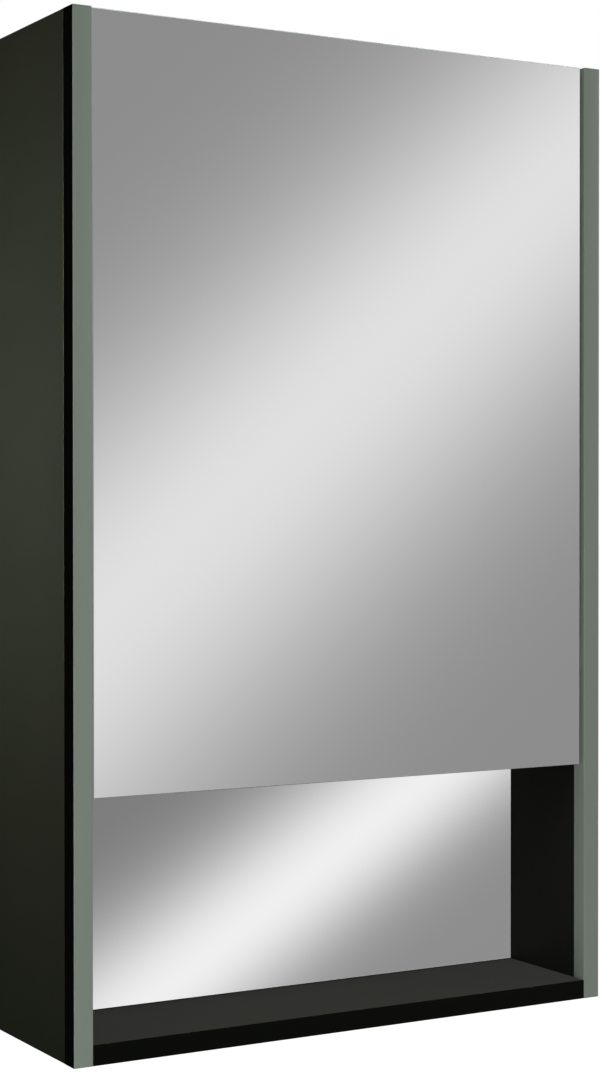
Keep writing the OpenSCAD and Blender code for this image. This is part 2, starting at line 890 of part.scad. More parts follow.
// box on the side board that guides the hook, open at the back
module hanger_housing() {
    through = hanger_wall + 2 * reach;
    color(zinc_c) difference() {
        hanger_slab(hanger_x0, inner_x, 0, back_y - 1);
        hanger_slab(hanger_x0 + hanger_wall, inner_x - hanger_wall, -hanger_wall, back_y);
        bar([hanger_screw_x, hanger_screw_y, hanger_z0 - reach], height_neck_r + 0.1, through);
        for (y = hanger_fixing_y) {
            bar([inner_x - hanger_wall - reach, y, hanger_fixing_z], screw_r + 0.2, through, "x");
            // holes that let the screwdriver reach the fixing screws
            bar([hanger_x0 - reach, y, hanger_fixing_z], screw_head_r + 0.9, through, "x");
        }
    }
}

// the hook's plate from the side, measured from the wall: its tooth drops behind the rail's lip
module hook_outline() {
    bridge_z = rail_lip_z + 0.2;
    tooth_z = rail_step_z + rail_t + 3;
    tooth_near = 1.5;
    tooth_far = rail_stand - rail_t - 0.4;
    low = nut_z0 - 6;
    top = nut_z1 + 4;
    deep = 62;
    slope = [28, 40];
    difference() {
        polygon([
            [deep, low], [deep, top], [tooth_near, top], [tooth_near, tooth_z],
            [tooth_far, tooth_z], [tooth_far, bridge_z], [slope[0], bridge_z], [slope[1], low]
        ]);
        corner_sliver([deep, low], 135, 3);
        corner_sliver([deep, top], 225, 3);
        corner_sliver([tooth_near, top], 315, 6);
        corner_sliver([tooth_near, tooth_z], 45, 1);
        corner_sliver([tooth_far, tooth_z], 135, 2);
    }
}

// steel hook: nut block, plate through the back panel, and a tooth behind the rail's lip
module hanger_hook() {
    nut_half = 4;
    nut_h = nut_z1 - nut_z0;
    color(nickel_c) difference() {
        union() {
            translate([hook_x + hook_t / 2, 0, 0]) rotate([90, 0, -90]) linear_extrude(hook_t) hook_outline();
            block([hanger_screw_x - nut_half, hanger_screw_y - nut_half, nut_z0],
                  [hook_x, hanger_screw_y + nut_half, nut_z1]);
        }
        bar([hanger_screw_x, hanger_screw_y, nut_z0 - reach], height_thread_r + 0.1, nut_h + 2 * reach);
    }
}

// height screw: head below the housing, collar above its floor
module hanger_screw() {
    floor_z = hanger_z0 + hanger_wall;
    roof_z = hanger_z1 - hanger_wall;
    gap = 0.1;
    collar_r = 4;
    collar_t = 1.6;
    head_r = 4.2;
    head_h = 2.8;
    head_z = hanger_z0 - gap - head_h;
    recess = 1.5;
    color(nickel_c) translate([hanger_screw_x, hanger_screw_y, 0]) difference() {
        union() {
            translate([0, 0, floor_z]) cylinder(r = height_thread_r, h = roof_z - floor_z - 0.5);
            translate([0, 0, floor_z + gap]) cylinder(r = collar_r, h = collar_t);
            translate([0, 0, hanger_z0 - gap]) cylinder(r = height_neck_r, h = hanger_wall + 3 * gap);
            translate([0, 0, head_z]) cylinder(r = head_r, h = head_h);
        }
        cross_recess(2.4, 0.6, head_z - reach, head_z + recess);
    }
}

module hanger_fixing_screws() {
    color(zinc_c) for (side = [0, 1], y = hanger_fixing_y) mirror([side, 0, 0]) {
        translate([inner_x - hanger_wall, y, hanger_fixing_z]) rotate([0, -90, 0])
            wood_screw(screw_r, 12, screw_head_r, screw_head_h);
    }
}

// plastic cap over the housing's front and inner side
module hanger_cover() {
    t = 1.2;
    gap = 0.15;
    color(plastic_c) difference() {
        hanger_slab(hanger_x0 - gap - t, inner_x - 0.2, gap + t, back_y - 2);
        hanger_slab(hanger_x0 - gap, inner_x + reach, gap, back_y);
        // open below, for the screwdriver
        block([hanger_x0 - reach - t, hanger_y0 - reach - t, hanger_z0 - 3],
              [inner_x + reach, back_y, hanger_z0 + 0.2]);
    }
}

module hanger_housing_left() {
    mirror([1, 0, 0]) hanger_housing();
}

module hanger_housing_right() {
    hanger_housing();
}

module hanger_hook_left() {
    mirror([1, 0, 0]) hanger_hook();
}

module hanger_hook_right() {
    hanger_hook();
}

module hanger_screw_left() {
    mirror([1, 0, 0]) hanger_screw();
}

module hanger_screw_right() {
    hanger_screw();
}

module hanger_cover_left() {
    mirror([1, 0, 0]) hanger_cover();
}

module hanger_cover_right() {
    hanger_cover();
}

side_panel_left();
side_panel_right();
edge_profile_left();
edge_profile_right();
top_panel();
middle_panel();
bottom_panel();
top_edge_band();
middle_edge_band();
bottom_edge_band();
back_panel();
back_panel_screws();
niche_back_board();
niche_mirror();
cam_locks();
cam_bolts();
dowels();
glass_shelf_lower();
glass_shelf_upper();
shelf_pins_lower();
shelf_pins_upper();
door_panel();
door_edge_band();
door_mirror();
door_bumpers();
catch_body();
catch_magnet();
catch_screws();
strike_plate();
strike_screw();
hinge_socket_lower();
hinge_socket_upper();
hinge_pin_lower();
hinge_pin_upper();
hinge_arm_lower();
hinge_arm_upper();
hinge_arm_screws_lower();
hinge_arm_screws_upper();
hinge_socket_screws_lower();
hinge_socket_screws_upper();
wall_rail();
hanger_housing_left();
hanger_housing_right();
hanger_hook_left();
hanger_hook_right();
hanger_screw_left();
hanger_screw_right();
hanger_fixing_screws();
hanger_cover_left();
hanger_cover_right();
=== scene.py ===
import json
import math

import bmesh
import bpy
from mathutils import Matrix, Vector


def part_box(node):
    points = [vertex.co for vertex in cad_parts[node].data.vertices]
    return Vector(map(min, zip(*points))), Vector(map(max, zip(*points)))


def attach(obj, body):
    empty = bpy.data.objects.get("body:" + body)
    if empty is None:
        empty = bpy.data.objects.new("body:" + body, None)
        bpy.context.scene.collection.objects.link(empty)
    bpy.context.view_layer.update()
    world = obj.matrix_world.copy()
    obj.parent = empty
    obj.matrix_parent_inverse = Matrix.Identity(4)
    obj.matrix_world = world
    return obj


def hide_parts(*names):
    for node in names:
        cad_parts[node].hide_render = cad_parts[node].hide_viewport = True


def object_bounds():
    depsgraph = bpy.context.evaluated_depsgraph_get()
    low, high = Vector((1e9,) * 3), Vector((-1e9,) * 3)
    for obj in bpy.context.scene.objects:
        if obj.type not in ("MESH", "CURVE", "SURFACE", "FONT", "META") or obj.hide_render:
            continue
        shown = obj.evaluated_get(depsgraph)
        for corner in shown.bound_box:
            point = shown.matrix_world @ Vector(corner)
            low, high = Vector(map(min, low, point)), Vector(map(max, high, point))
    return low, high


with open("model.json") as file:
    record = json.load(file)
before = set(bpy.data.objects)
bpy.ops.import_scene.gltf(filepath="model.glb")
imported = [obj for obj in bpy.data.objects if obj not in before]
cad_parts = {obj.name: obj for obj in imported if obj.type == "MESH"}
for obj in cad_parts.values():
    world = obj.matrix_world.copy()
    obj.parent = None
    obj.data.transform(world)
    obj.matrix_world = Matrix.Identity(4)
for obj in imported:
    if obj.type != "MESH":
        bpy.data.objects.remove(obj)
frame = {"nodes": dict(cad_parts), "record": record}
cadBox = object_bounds()
mm = 0.001
frontY = cadBox[0].y
print("frame loaded:", len(frame["nodes"]), "nodes")

# camera: a long lens left of the cabinet, at half its height
cameraPlan = {
    "lens": 72.53,  # mm, on the 36 mm long side of the frame
    "around": 29.06,  # degrees left of straight ahead
    "tilt": -0.635,
    "roll": -0.05,
    "distance": 1.683,  # metres from the aim point
    "aimAcross": 0.2545,  # aim point on the front plane, as shares of its width and height
    "aimUp": 0.5007,
    "shift": 0.0732,  # of the long side
}


def makeCamera(plan):
    low, high = cadBox
    aim = Vector((low.x + plan["aimAcross"] * (high.x - low.x), frontY,
                  low.z + plan["aimUp"] * (high.z - low.z)))
    around, tilt, roll = (math.radians(plan[key]) for key in ("around", "tilt", "roll"))
    forward = Vector((math.sin(around) * math.cos(tilt), math.cos(around) * math.cos(tilt), math.sin(tilt)))
    right = Vector((math.cos(around), -math.sin(around), 0))
    upward = right.cross(forward)
    turnedRight = math.cos(roll) * right + math.sin(roll) * upward
    turnedUp = math.cos(roll) * upward - math.sin(roll) * right
    data = bpy.data.cameras.new("frontLeftCamera")
    data.lens = plan["lens"]
    data.shift_x = plan["shift"]
    camera = bpy.data.objects.new("frontLeftCamera", data)
    camera.matrix_world = Matrix((turnedRight, turnedUp, -forward)).transposed().to_4x4()
    camera.location = aim - forward * plan["distance"]
    bpy.context.scene.collection.objects.link(camera)
    bpy.context.scene.camera = camera


makeCamera(cameraPlan)
bpy.context.scene.view_settings.view_transform = "Standard"
print("camera set")


# helpers for colours and nodes
def linear(code):  # hex sRGB to linear RGBA
    parts = [int(code[i:i + 2], 16) / 255 for i in (1, 3, 5)]
    return [c / 12.92 if c <= 0.04045 else ((c + 0.055) / 1.055) ** 2.4 for c in parts] + [1]


def addNode(tree, kind, sockets=None, **settings):
    node = tree.nodes.new(kind)
    for name, value in settings.items():
        setattr(node, name, value)
    for name, value in (sockets or {}).items():
        if isinstance(value, bpy.types.NodeSocket):
            tree.links.new(value, node.inputs[name])
        else:
            node.inputs[name].default_value = value
    return node


def newMaterial(name, **sockets):
    # a material with one Principled shader and an Object-coordinate source
    material = bpy.data.materials.new(name)
    material.use_nodes = True
    tree = material.node_tree
    shader = tree.nodes["Principled BSDF"]
    for key, value in sockets.items():
        shader.inputs[key.replace("_", " ")].default_value = value
    place = addNode(tree, "ShaderNodeTexCoord").outputs["Object"]
    return material, tree, shader, place


# helpers for Geometry Nodes: a tree with named inputs, and the plain mesh that it gives
def newTree(name, inputs):
    tree = bpy.data.node_groups.new(name, "GeometryNodeTree")
    tree.interface.new_socket("Geometry", in_out="INPUT", socket_type="NodeSocketGeometry")
    for label, kind in inputs.items():
        tree.interface.new_socket(label, in_out="INPUT", socket_type="NodeSocket" + kind)
    tree.interface.new_socket("Geometry", in_out="OUTPUT", socket_type="NodeSocketGeometry")
    return tree, addNode(tree, "NodeGroupInput").outputs


def endTree(tree, geometry, material):
    whole = addNode(tree, "GeometryNodeRealizeInstances", {"Geometry": geometry}).outputs[0]
    coated = addNode(tree, "GeometryNodeSetMaterial", {"Geometry": whole, "Material": material}).outputs[0]
    addNode(tree, "NodeGroupOutput", {"Geometry": coated})


def grow(tree, seed, values):
    # runs the tree on a seed mesh with the given inputs and hands back a plain mesh
    holder = bpy.data.objects.new(tree.name, seed)
    bpy.context.scene.collection.objects.link(holder)
    modifier = holder.modifiers.new(tree.name, "NODES")
    modifier.node_group = tree
    for item in tree.interface.items_tree:
        if item.in_out == "INPUT" and item.name in values:
            modifier[item.identifier] = values[item.name]
    bpy.context.view_layer.update()
    graph = bpy.context.evaluated_depsgraph_get()
    mesh = bpy.data.meshes.new_from_object(holder.evaluated_get(graph), depsgraph=graph)
    bpy.data.objects.remove(holder)
    return mesh


# world: white where it is looked at or mirrored, plain and soft where it lights
worldPlan = {"backdrop": "#FFFFFF", "fill": "#F4F6F5", "fillStrength": 0.18}


def makeWorld(plan):
    world = bpy.data.worlds.new("studioWorld")
    bpy.context.scene.world = world
    world.use_nodes = True
    tree = world.node_tree
    tree.nodes.clear()
    rays = addNode(tree, "ShaderNodeLightPath").outputs
    seen = addNode(tree, "ShaderNodeMath", {0: rays["Is Camera Ray"], 1: rays["Is Glossy Ray"]},
                   operation="MAXIMUM").outputs[0]
    seen = addNode(tree, "ShaderNodeMath", {0: seen, 1: rays["Is Transmission Ray"]},
                   operation="MAXIMUM").outputs[0]
    soft = addNode(tree, "ShaderNodeBackground", {"Color": linear(plan["fill"]),
                                                  "Strength": plan["fillStrength"]}).outputs[0]
    white = addNode(tree, "ShaderNodeBackground", {"Color": linear(plan["backdrop"]),
                                                   "Strength": 1.0}).outputs[0]
    both = addNode(tree, "ShaderNodeMixShader", {0: seen, 1: soft, 2: white}).outputs[0]
    addNode(tree, "ShaderNodeOutputWorld", {"Surface": both})


# studio: pale floor, lamps, and the cards that the mirrors and the metal reflect
def flatSheet(name, corners, material):
    mesh = bpy.data.meshes.new(name)
    mesh.from_pydata([Vector(corner) for corner in corners], [], [[0, 1, 2, 3]])
    mesh.materials.append(material)
    sheet = bpy.data.objects.new(name, mesh)
    bpy.context.scene.collection.objects.link(sheet)
    return sheet


floorPlan = {
    "below": 2.2,  # metres under the cabinet
    "half": 14,  # metres from its middle to each side
    "colour": "#F2F2F2",
    "glow": 0.86,  # how bright it is of itself
    "mirrored": 0.55,  # the same, where a mirror shows it
}


def makeFloor(plan):
    # mostly its own white, so it meets the backdrop, and partly lit, so a shadow stays
    material, tree, shader, place = newMaterial("paleFloor", Roughness=0.8)
    shader.inputs["Base Color"].default_value = linear(plan["colour"])
    grain = addNode(tree, "ShaderNodeTexNoise", {"Vector": place, "Scale": 3.0})
    shade = addNode(tree, "ShaderNodeMapRange", {"Value": grain.outputs[0], "To Min": 0.78, "To Max": 0.82})
    tree.links.new(shade.outputs[0], shader.inputs["Roughness"])
    rays = addNode(tree, "ShaderNodeLightPath").outputs
    seen = addNode(tree, "ShaderNodeMath", {0: rays["Is Camera Ray"], 1: rays["Is Transmission Ray"]},
                   operation="MAXIMUM").outputs[0]
    direct = addNode(tree, "ShaderNodeMath", {0: seen, 1: plan["glow"]}, operation="MULTIPLY").outputs[0]
    glow = addNode(tree, "ShaderNodeMath", {0: rays["Is Glossy Ray"], 1: plan["mirrored"], 2: direct},
                   operation="MULTIPLY_ADD").outputs[0]
    shader.inputs["Emission Color"].default_value = linear("#FFFFFF")
    tree.links.new(glow, shader.inputs["Emission Strength"])
    z = cadBox[0].z - plan["below"]
    half = plan["half"]
    flatSheet("paleFloor", [(-half, -half, z), (half, -half, z), (half, half, z), (-half, half, z)], material)


lampPlan = {
    # place, aim, width and height, watts, and whether it lights only the profiles or leaves them out
    "sideLamp": {"at": (-0.62, -0.06, -0.25), "aim": (-0.25, -0.06, -0.25), "size": (0.12, 0.2), "watts": 3.2,
                 "profiles": "EXCLUDE"},
    "overheadLamp": {"at": (-0.1, -1.5, 1.5), "aim": (0.0, -0.1, -0.45), "size": (1.6, 1.2), "watts": 46,
                     "profiles": "EXCLUDE"},
    "rightLamp": {"at": (2.2, -0.4, 0.3), "aim": (0.2, 0.0, -0.3), "size": (1.4, 1.6), "watts": 40},
    "rearLamp": {"at": (0.5, 2.4, 0.9), "aim": (0.0, 0.0, -0.3), "size": (1.8, 1.4), "watts": 70},
    "profileLamp": {"at": (-1.45, -1.9, -0.56), "aim": (0.1, -0.15, -0.4), "size": (0.5, 1.4), "watts": 34,
                    "profiles": "INCLUDE"},
}


lampTargets = {}  # lamp name: the pieces that it alone lights, or that it leaves out


def makeLamps(plan):
    for name, lamp in plan.items():
        data = bpy.data.lights.new(name, "AREA")
        data.shape = "RECTANGLE"
        data.size, data.size_y = lamp["size"]
        data.energy = lamp["watts"]
        holder = bpy.data.objects.new(name, data)
        holder.location = lamp["at"]
        aim = Vector(lamp["aim"]) - Vector(lamp["at"])
        holder.rotation_euler = aim.to_track_quat("-Z", "Y").to_euler()
        holder.visible_camera = False
        holder.visible_glossy = False
        if "profiles" in lamp:
            lampTargets[name] = bpy.data.collections.new(name + "Targets")
            holder.light_linking.receiver_collection = lampTargets[name]
        bpy.context.scene.collection.objects.link(holder)


cardPlan = {
    "ahead": 2.0,  # metres in front of the cabinet
    "half": 4.0,
    "lowStep": 0.01,  # the low card stands this much nearer, to cover the high one
    "reach": 12.0,  # how far behind the wall's plane the side card runs
    "split": -0.84,  # height where the low card takes over from the high one
    "low": (0.45, 2.3, -1.7),  # left, right and bottom of the low card
    # each pair is for the side above the ridge and the side below it
    "highGlow": {"turn": -50.0, "ridge": 0.865, "fall": (0.22, 0.255), "dark": (0.28, 0.28), "bright": 0.79},
    "lowGlow": {"turn": -58.6, "ridge": 1.567, "fall": (0.118, 0.097), "dark": (0.215, 0.285),
                "bright": 0.92},
    "period": 2.4,  # metres from one ridge of the high card to the next
    # black sheet behind the cabinet's left: where it starts and ends on the floor plan, bottom and top
    "flag": ((-2.9, 0.5), (0.2, 2.9), -3.0, 2.6),
}


def cardGlow(name, across, glow, period=None):
    # a diagonal ridge of light that falls off like a bell on both sides
    beyond, blend = 9, 0.1  # metres: past any card's end, and over which one dark turns into the other
    material = bpy.data.materials.new(name)
    material.use_nodes = True
    tree = material.node_tree
    tree.nodes.clear()
    place = addNode(tree, "ShaderNodeTexCoord").outputs["Object"]
    turn = math.radians(glow["turn"])
    direction = Vector(across) * math.cos(turn) + Vector((0, 0, math.sin(turn)))
    along = addNode(tree, "ShaderNodeVectorMath", {0: place, 1: direction},
                    operation="DOT_PRODUCT").outputs["Value"]
    offset = addNode(tree, "ShaderNodeMath", {0: along, 1: -glow["ridge"]}, operation="ADD").outputs[0]
    if period:
        offset = addNode(tree, "ShaderNodeMath", {0: offset, 1: period / 2, 2: -period / 2},
                         operation="WRAP").outputs[0]
    sides = []
    for fall, first, last in ((glow["fall"][0], -beyond, 0), (glow["fall"][1], 0, beyond)):
        part = addNode(tree, "ShaderNodeClamp", {0: offset, 1: first, 2: last}).outputs[0]
        scaled = addNode(tree, "ShaderNodeMath", {0: part, 1: fall}, operation="DIVIDE").outputs[0]
        squared = addNode(tree, "ShaderNodeMath", {0: scaled, 1: scaled}, operation="MULTIPLY").outputs[0]
        sides.append(squared)
    total = addNode(tree, "ShaderNodeMath", {0: sides[0], 1: sides[1]}, operation="ADD").outputs[0]
    halved = addNode(tree, "ShaderNodeMath", {0: total, 1: -0.5}, operation="MULTIPLY").outputs[0]
    bell = addNode(tree, "ShaderNodeMath", {0: halved}, operation="EXPONENT").outputs[0]
    darkFirst, darkLast = glow["dark"]
    dark = addNode(tree, "ShaderNodeMapRange", {"Value": offset, "From Min": -blend, "From Max": blend,
                                                "To Min": darkFirst, "To Max": darkLast}).outputs[0]
    strength = addNode(tree, "ShaderNodeMapRange", {"Value": bell, "To Min": dark,
                                                    "To Max": glow["bright"]}).outputs[0]
    light = addNode(tree, "ShaderNodeEmission", {"Color": linear("#FFFFFF"), "Strength": strength}).outputs[0]
    addNode(tree, "ShaderNodeOutputMaterial", {"Surface": light})
    return material


def hideCard(card):
    # only reflections see a card
    card.visible_camera = False
    card.visible_diffuse = False
    card.visible_transmission = False
    card.visible_shadow = False


def makeCards(plan):
    y = frontY - plan["ahead"]
    half = plan["half"]
    left, right, bottom = plan["low"]
    nearY = y + plan["lowStep"]
    split = plan["split"]
    high = cardGlow("highCardGlow", (1, 0, 0), plan["highGlow"], plan["period"])
    low = cardGlow("lowCardGlow", (1, 0, 0), plan["lowGlow"])
    hideCard(flatSheet("lowCard", [(left, nearY, bottom), (right, nearY, bottom),
                                   (right, nearY, split), (left, nearY, split)], low))
    hideCard(flatSheet("frontCard",
                       [(-half, y, -half), (half, y, -half), (half, y, half), (-half, y, half)], high))
    sideGlow = cardGlow("sideCardGlow", (0, 1, 0), plan["highGlow"], plan["period"])
    back = plan["reach"]
    hideCard(flatSheet("rightCard", [(half, y, -half), (half, back, -half),
                                     (half, back, half), (half, y, half)], sideGlow))
    flag = bpy.data.materials.new("blackFlag")
    flag.use_nodes = True
    flag.node_tree.nodes["Principled BSDF"].inputs["Base Color"].default_value = linear("#000000")
    flag.node_tree.nodes["Principled BSDF"].inputs["Specular IOR Level"].default_value = 0
    start, end, foot, head = plan["flag"]
    hideCard(flatSheet("rearLeftFlag", [(*start, foot), (*end, foot), (*end, head), (*start, head)], flag))


makeWorld(worldPlan)
makeFloor(floorPlan)
makeLamps(lampPlan)
makeCards(cardPlan)
print("studio built")


# materials
def graphiteMelamine():
    # melamine-faced board, hot pressed with a fine pearl: dark and matt, with a faint soft sheen;
    # the pearl is drawn about three times as coarse as it is, so that it shows
    pearl, cloud = 0.9 * mm, 60 * mm
    material, tree, shader, place = newMaterial("graphiteMelamine", Roughness=0.52, Specular_IOR_Level=0.04)
    fine = addNode(tree, "ShaderNodeTexNoise",
                   {"Vector": place, "Scale": 1 / pearl, "Detail": 2.0}).outputs[0]
    wide = addNode(tree, "ShaderNodeTexNoise",
                   {"Vector": place, "Scale": 1 / cloud, "Detail": 3.0}).outputs[0]
    mixed = addNode(tree, "ShaderNodeMath", {0: wide, 1: 0.35, 2: fine}, operation="MULTIPLY_ADD").outputs[0]
    colour = addNode(tree, "ShaderNodeValToRGB", {"Fac": mixed})
    colour.color_ramp.elements[0].position, colour.color_ramp.elements[1].position = 0.4, 0.95
    colour.color_ramp.elements[0].color = linear("#1E2019")
    colour.color_ramp.elements[1].color = linear("#25271F")
    tree.links.new(colour.outputs[0], shader.inputs["Base Color"])
    rough = addNode(tree, "ShaderNodeMapRange", {"Value": fine, "To Min": 0.47, "To Max": 0.57}).outputs[0]
    tree.links.new(rough, shader.inputs["Roughness"])
    bump = addNode(tree, "ShaderNodeBump",
                   {"Height": fine, "Strength": 0.25, "Distance": 0.05 * mm}).outputs[0]
    tree.links.new(bump, shader.inputs["Normal"])
    return material


def rawChipboard():
    # sawn particle board: pale wood chips of a few millimetres, dry and rough
    chip, fray, tear = 1.7 * mm, 0.5 * mm, 1.4 * mm
    material, tree, shader, place = newMaterial("rawChipboard", Roughness=0.92, Specular_IOR_Level=0.2)
    torn = addNode(tree, "ShaderNodeTexNoise",
                   {"Vector": place, "Scale": 1 / fray, "Detail": 2.0}).outputs["Color"]
    spread = addNode(tree, "ShaderNodeVectorMath", {0: torn, 1: (tear, tear, tear), 2: place},
                     operation="MULTIPLY_ADD").outputs[0]
    chips = addNode(tree, "ShaderNodeTexVoronoi", {"Vector": spread, "Scale": 1 / chip})
    tone = addNode(tree, "ShaderNodeSeparateColor", {"Color": chips.outputs["Color"]}).outputs[0]
    dust = addNode(tree, "ShaderNodeSeparateColor", {"Color": torn}).outputs[1]
    mixed = addNode(tree, "ShaderNodeMath", {0: dust, 1: 0.5, 2: tone}, operation="MULTIPLY_ADD").outputs[0]
    colour = addNode(tree, "ShaderNodeValToRGB", {"Fac": mixed})
    colour.color_ramp.elements[0].position, colour.color_ramp.elements[1].position = 0.15, 0.95
    colour.color_ramp.elements[0].color = linear("#84694A")
    colour.color_ramp.elements[1].color = linear("#C0A47B")
    tree.links.new(colour.outputs[0], shader.inputs["Base Color"])
    bump = addNode(tree, "ShaderNodeBump", {"Height": chips.outputs["Distance"], "Strength": 0.6,
                                            "Distance": 0.4 * mm}).outputs[0]
    tree.links.new(bump, shader.inputs["Normal"])
    return material


def blackEdging():
    # ABS edge band, extruded and embossed: near black, smooth and slightly silky; the embossing is
    # drawn about twice as coarse as it is
    emboss = 0.7 * mm
    material, tree, shader, place = newMaterial("blackEdging", Roughness=0.42, Specular_IOR_Level=0.04)
    grain = addNode(tree, "ShaderNodeTexNoise",
                    {"Vector": place, "Scale": 1 / emboss, "Detail": 2.0}).outputs[0]
    colour = addNode(tree, "ShaderNodeValToRGB", {"Fac": grain})
    colour.color_ramp.elements[0].color = linear("#060804")
    colour.color_ramp.elements[1].color = linear("#0D0F0A")
    tree.links.new(colour.outputs[0], shader.inputs["Base Color"])
    bump = addNode(tree, "ShaderNodeBump",
                   {"Height": grain, "Strength": 0.2, "Distance": 0.04 * mm}).outputs[0]
    tree.links.new(bump, shader.inputs["Normal"])
    return material


def satinAluminium():
    # aluminium, extruded, etched and anodised in a grey-green tone: an even satin, with faint lines
    # along its length
    line = 0.6 * mm
    material, tree, shader, place = newMaterial("satinAluminium", Metallic=0.25, Roughness=0.42)
    stretched = addNode(tree, "ShaderNodeMapping", {"Vector": place, "Scale": (1, 1, 0.01)}).outputs[0]
    drawn = addNode(tree, "ShaderNodeTexNoise",
                    {"Vector": stretched, "Scale": 1 / line, "Detail": 2.0}).outputs[0]
    colour = addNode(tree, "ShaderNodeValToRGB", {"Fac": drawn})
    colour.color_ramp.elements[0].color = linear("#7B857A")
    colour.color_ramp.elements[1].color = linear("#828C81")
    tree.links.new(colour.outputs[0], shader.inputs["Base Color"])
    rough = addNode(tree, "ShaderNodeMapRange", {"Value": drawn, "To Min": 0.38, "To Max": 0.46}).outputs[0]
    tree.links.new(rough, shader.inputs["Roughness"])
    bump = addNode(tree, "ShaderNodeBump",
                   {"Height": drawn, "Strength": 0.1, "Distance": 0.02 * mm}).outputs[0]
    tree.links.new(bump, shader.inputs["Normal"])
    return material


def blackFilm():
    # painted dark reflection: the profile's outer flange is coloured near black, as the metal looks there
    # when it mirrors a dark surround, and has no reflection to speak of
    speck = 0.5 * mm
    material, tree, shader, place = newMaterial("blackFilm", Roughness=0.5, Specular_IOR_Level=0.02)
    grain = addNode(tree, "ShaderNodeTexNoise", {"Vector": place, "Scale": 1 / speck}).outputs[0]
    colour = addNode(tree, "ShaderNodeValToRGB", {"Fac": grain})
    colour.color_ramp.elements[0].color = linear("#030403")
    colour.color_ramp.elements[1].color = linear("#0A0C09")
    tree.links.new(colour.outputs[0], shader.inputs["Base Color"])
    return material


def silveredGlass():
    # float glass, silvered on its back: a clean reflection with a trace of green
    haze = 180 * mm
    material, tree, shader, place = newMaterial("silveredGlass", Metallic=1.0, Roughness=0.0)
    shader.inputs["Base Color"].default_value = linear("#F8F8F8")
    cloud = addNode(tree, "ShaderNodeTexNoise", {"Vector": place, "Scale": 1 / haze}).outputs[0]
    rough = addNode(tree, "ShaderNodeMapRange", {"Value": cloud, "To Min": 0.0, "To Max": 0.012}).outputs[0]
    tree.links.new(rough, shader.inputs["Roughness"])
    return material


def groundGlassEdge():
    # ground and seamed edge of a pane: frosted grey-green
    grit = 0.35 * mm
    material, tree, shader, place = newMaterial("groundGlassEdge", Roughness=0.45, IOR=1.52)
    grain = addNode(tree, "ShaderNodeTexNoise", {"Vector": place, "Scale": 1 / grit}).outputs[0]
    colour = addNode(tree, "ShaderNodeValToRGB", {"Fac": grain})
    colour.color_ramp.elements[0].color = linear("#9AA6A0")
    colour.color_ramp.elements[1].color = linear("#B4BFB9")
    tree.links.new(colour.outputs[0], shader.inputs["Base Color"])
    bump = addNode(tree, "ShaderNodeBump",
                   {"Height": grain, "Strength": 0.3, "Distance": 0.03 * mm}).outputs[0]
    tree.links.new(bump, shader.inputs["Normal"])
    return material


def clearShelfGlass():
    # clear float glass, polished: nearly invisible on the flat
    smudge = 90 * mm
    material, tree, shader, place = newMaterial("clearShelfGlass", Transmission_Weight=1.0, IOR=1.5)
    shader.inputs["Base Color"].default_value = linear("#F2FBF7")
    smear = addNode(tree, "ShaderNodeTexNoise", {"Vector": place, "Scale": 1 / smudge}).outputs[0]
    rough = addNode(tree, "ShaderNodeMapRange", {"Value": smear, "To Min": 0.0, "To Max": 0.03}).outputs[0]
    tree.links.new(rough, shader.inputs["Roughness"])
    return material


def greenGlassEdge():
    # polished edge of the shelf, where the eye looks along the glass: deep bottle green
    drift = 14 * mm
    material, tree, shader, place = newMaterial("greenGlassEdge", Roughness=0.12, IOR=1.5,
                                                Transmission_Weight=0.35)
    band = addNode(tree, "ShaderNodeTexNoise",
                   {"Vector": place, "Scale": 1 / drift, "Detail": 1.0}).outputs[0]
    colour = addNode(tree, "ShaderNodeValToRGB", {"Fac": band})
    colour.color_ramp.elements[0].color = linear("#3E7F6A")
    colour.color_ramp.elements[1].color = linear("#7FB7A2")
    tree.links.new(colour.outputs[0], shader.inputs["Base Color"])
    return material


def rawHardboard():
    # pressed fibre board, the side that faces the wall: brown with fine fibres
    fibre, cloud = 1.4 * mm, 120 * mm
    material, tree, shader, place = newMaterial("rawHardboard", Roughness=0.8, Specular_IOR_Level=0.3)
    flecks = addNode(tree, "ShaderNodeTexNoise", {"Vector": place, "Scale": 1 / fibre, "Detail": 6.0,
                                                  "Roughness": 0.7}).outputs[0]
    wide = addNode(tree, "ShaderNodeTexNoise", {"Vector": place, "Scale": 1 / cloud}).outputs[0]
    mixed = addNode(tree, "ShaderNodeMath", {0: wide, 1: 0.4, 2: flecks}, operation="MULTIPLY_ADD").outputs[0]
    colour = addNode(tree, "ShaderNodeValToRGB", {"Fac": mixed})
    colour.color_ramp.elements[0].position, colour.color_ramp.elements[1].position = 0.45, 0.95
    colour.color_ramp.elements[0].color = linear("#5E4630")
    colour.color_ramp.elements[1].color = linear("#8C6F50")
    tree.links.new(colour.outputs[0], shader.inputs["Base Color"])
    bump = addNode(tree, "ShaderNodeBump",
                   {"Height": flecks, "Strength": 0.4, "Distance": 0.1 * mm}).outputs[0]
    tree.links.new(bump, shader.inputs["Normal"])
    return material


def turnedBeech():
    # turned beech: pale pinkish wood with short dark flecks along the grain
    fleck = 1.2 * mm
    material, tree, shader, place = newMaterial("turnedBeech", Roughness=0.6, Specular_IOR_Level=0.35)
    stretched = addNode(tree, "ShaderNodeMapping", {"Vector": place, "Scale": (0.1, 1, 1)}).outputs[0]
    grain = addNode(tree, "ShaderNodeTexNoise",
                    {"Vector": stretched, "Scale": 1 / fleck, "Detail": 3.0}).outputs[0]
    colour = addNode(tree, "ShaderNodeValToRGB", {"Fac": grain})
    colour.color_ramp.elements[0].color = linear("#B08A60")
    colour.color_ramp.elements[1].color = linear("#D9BC92")
    tree.links.new(colour.outputs[0], shader.inputs["Base Color"])
    return material


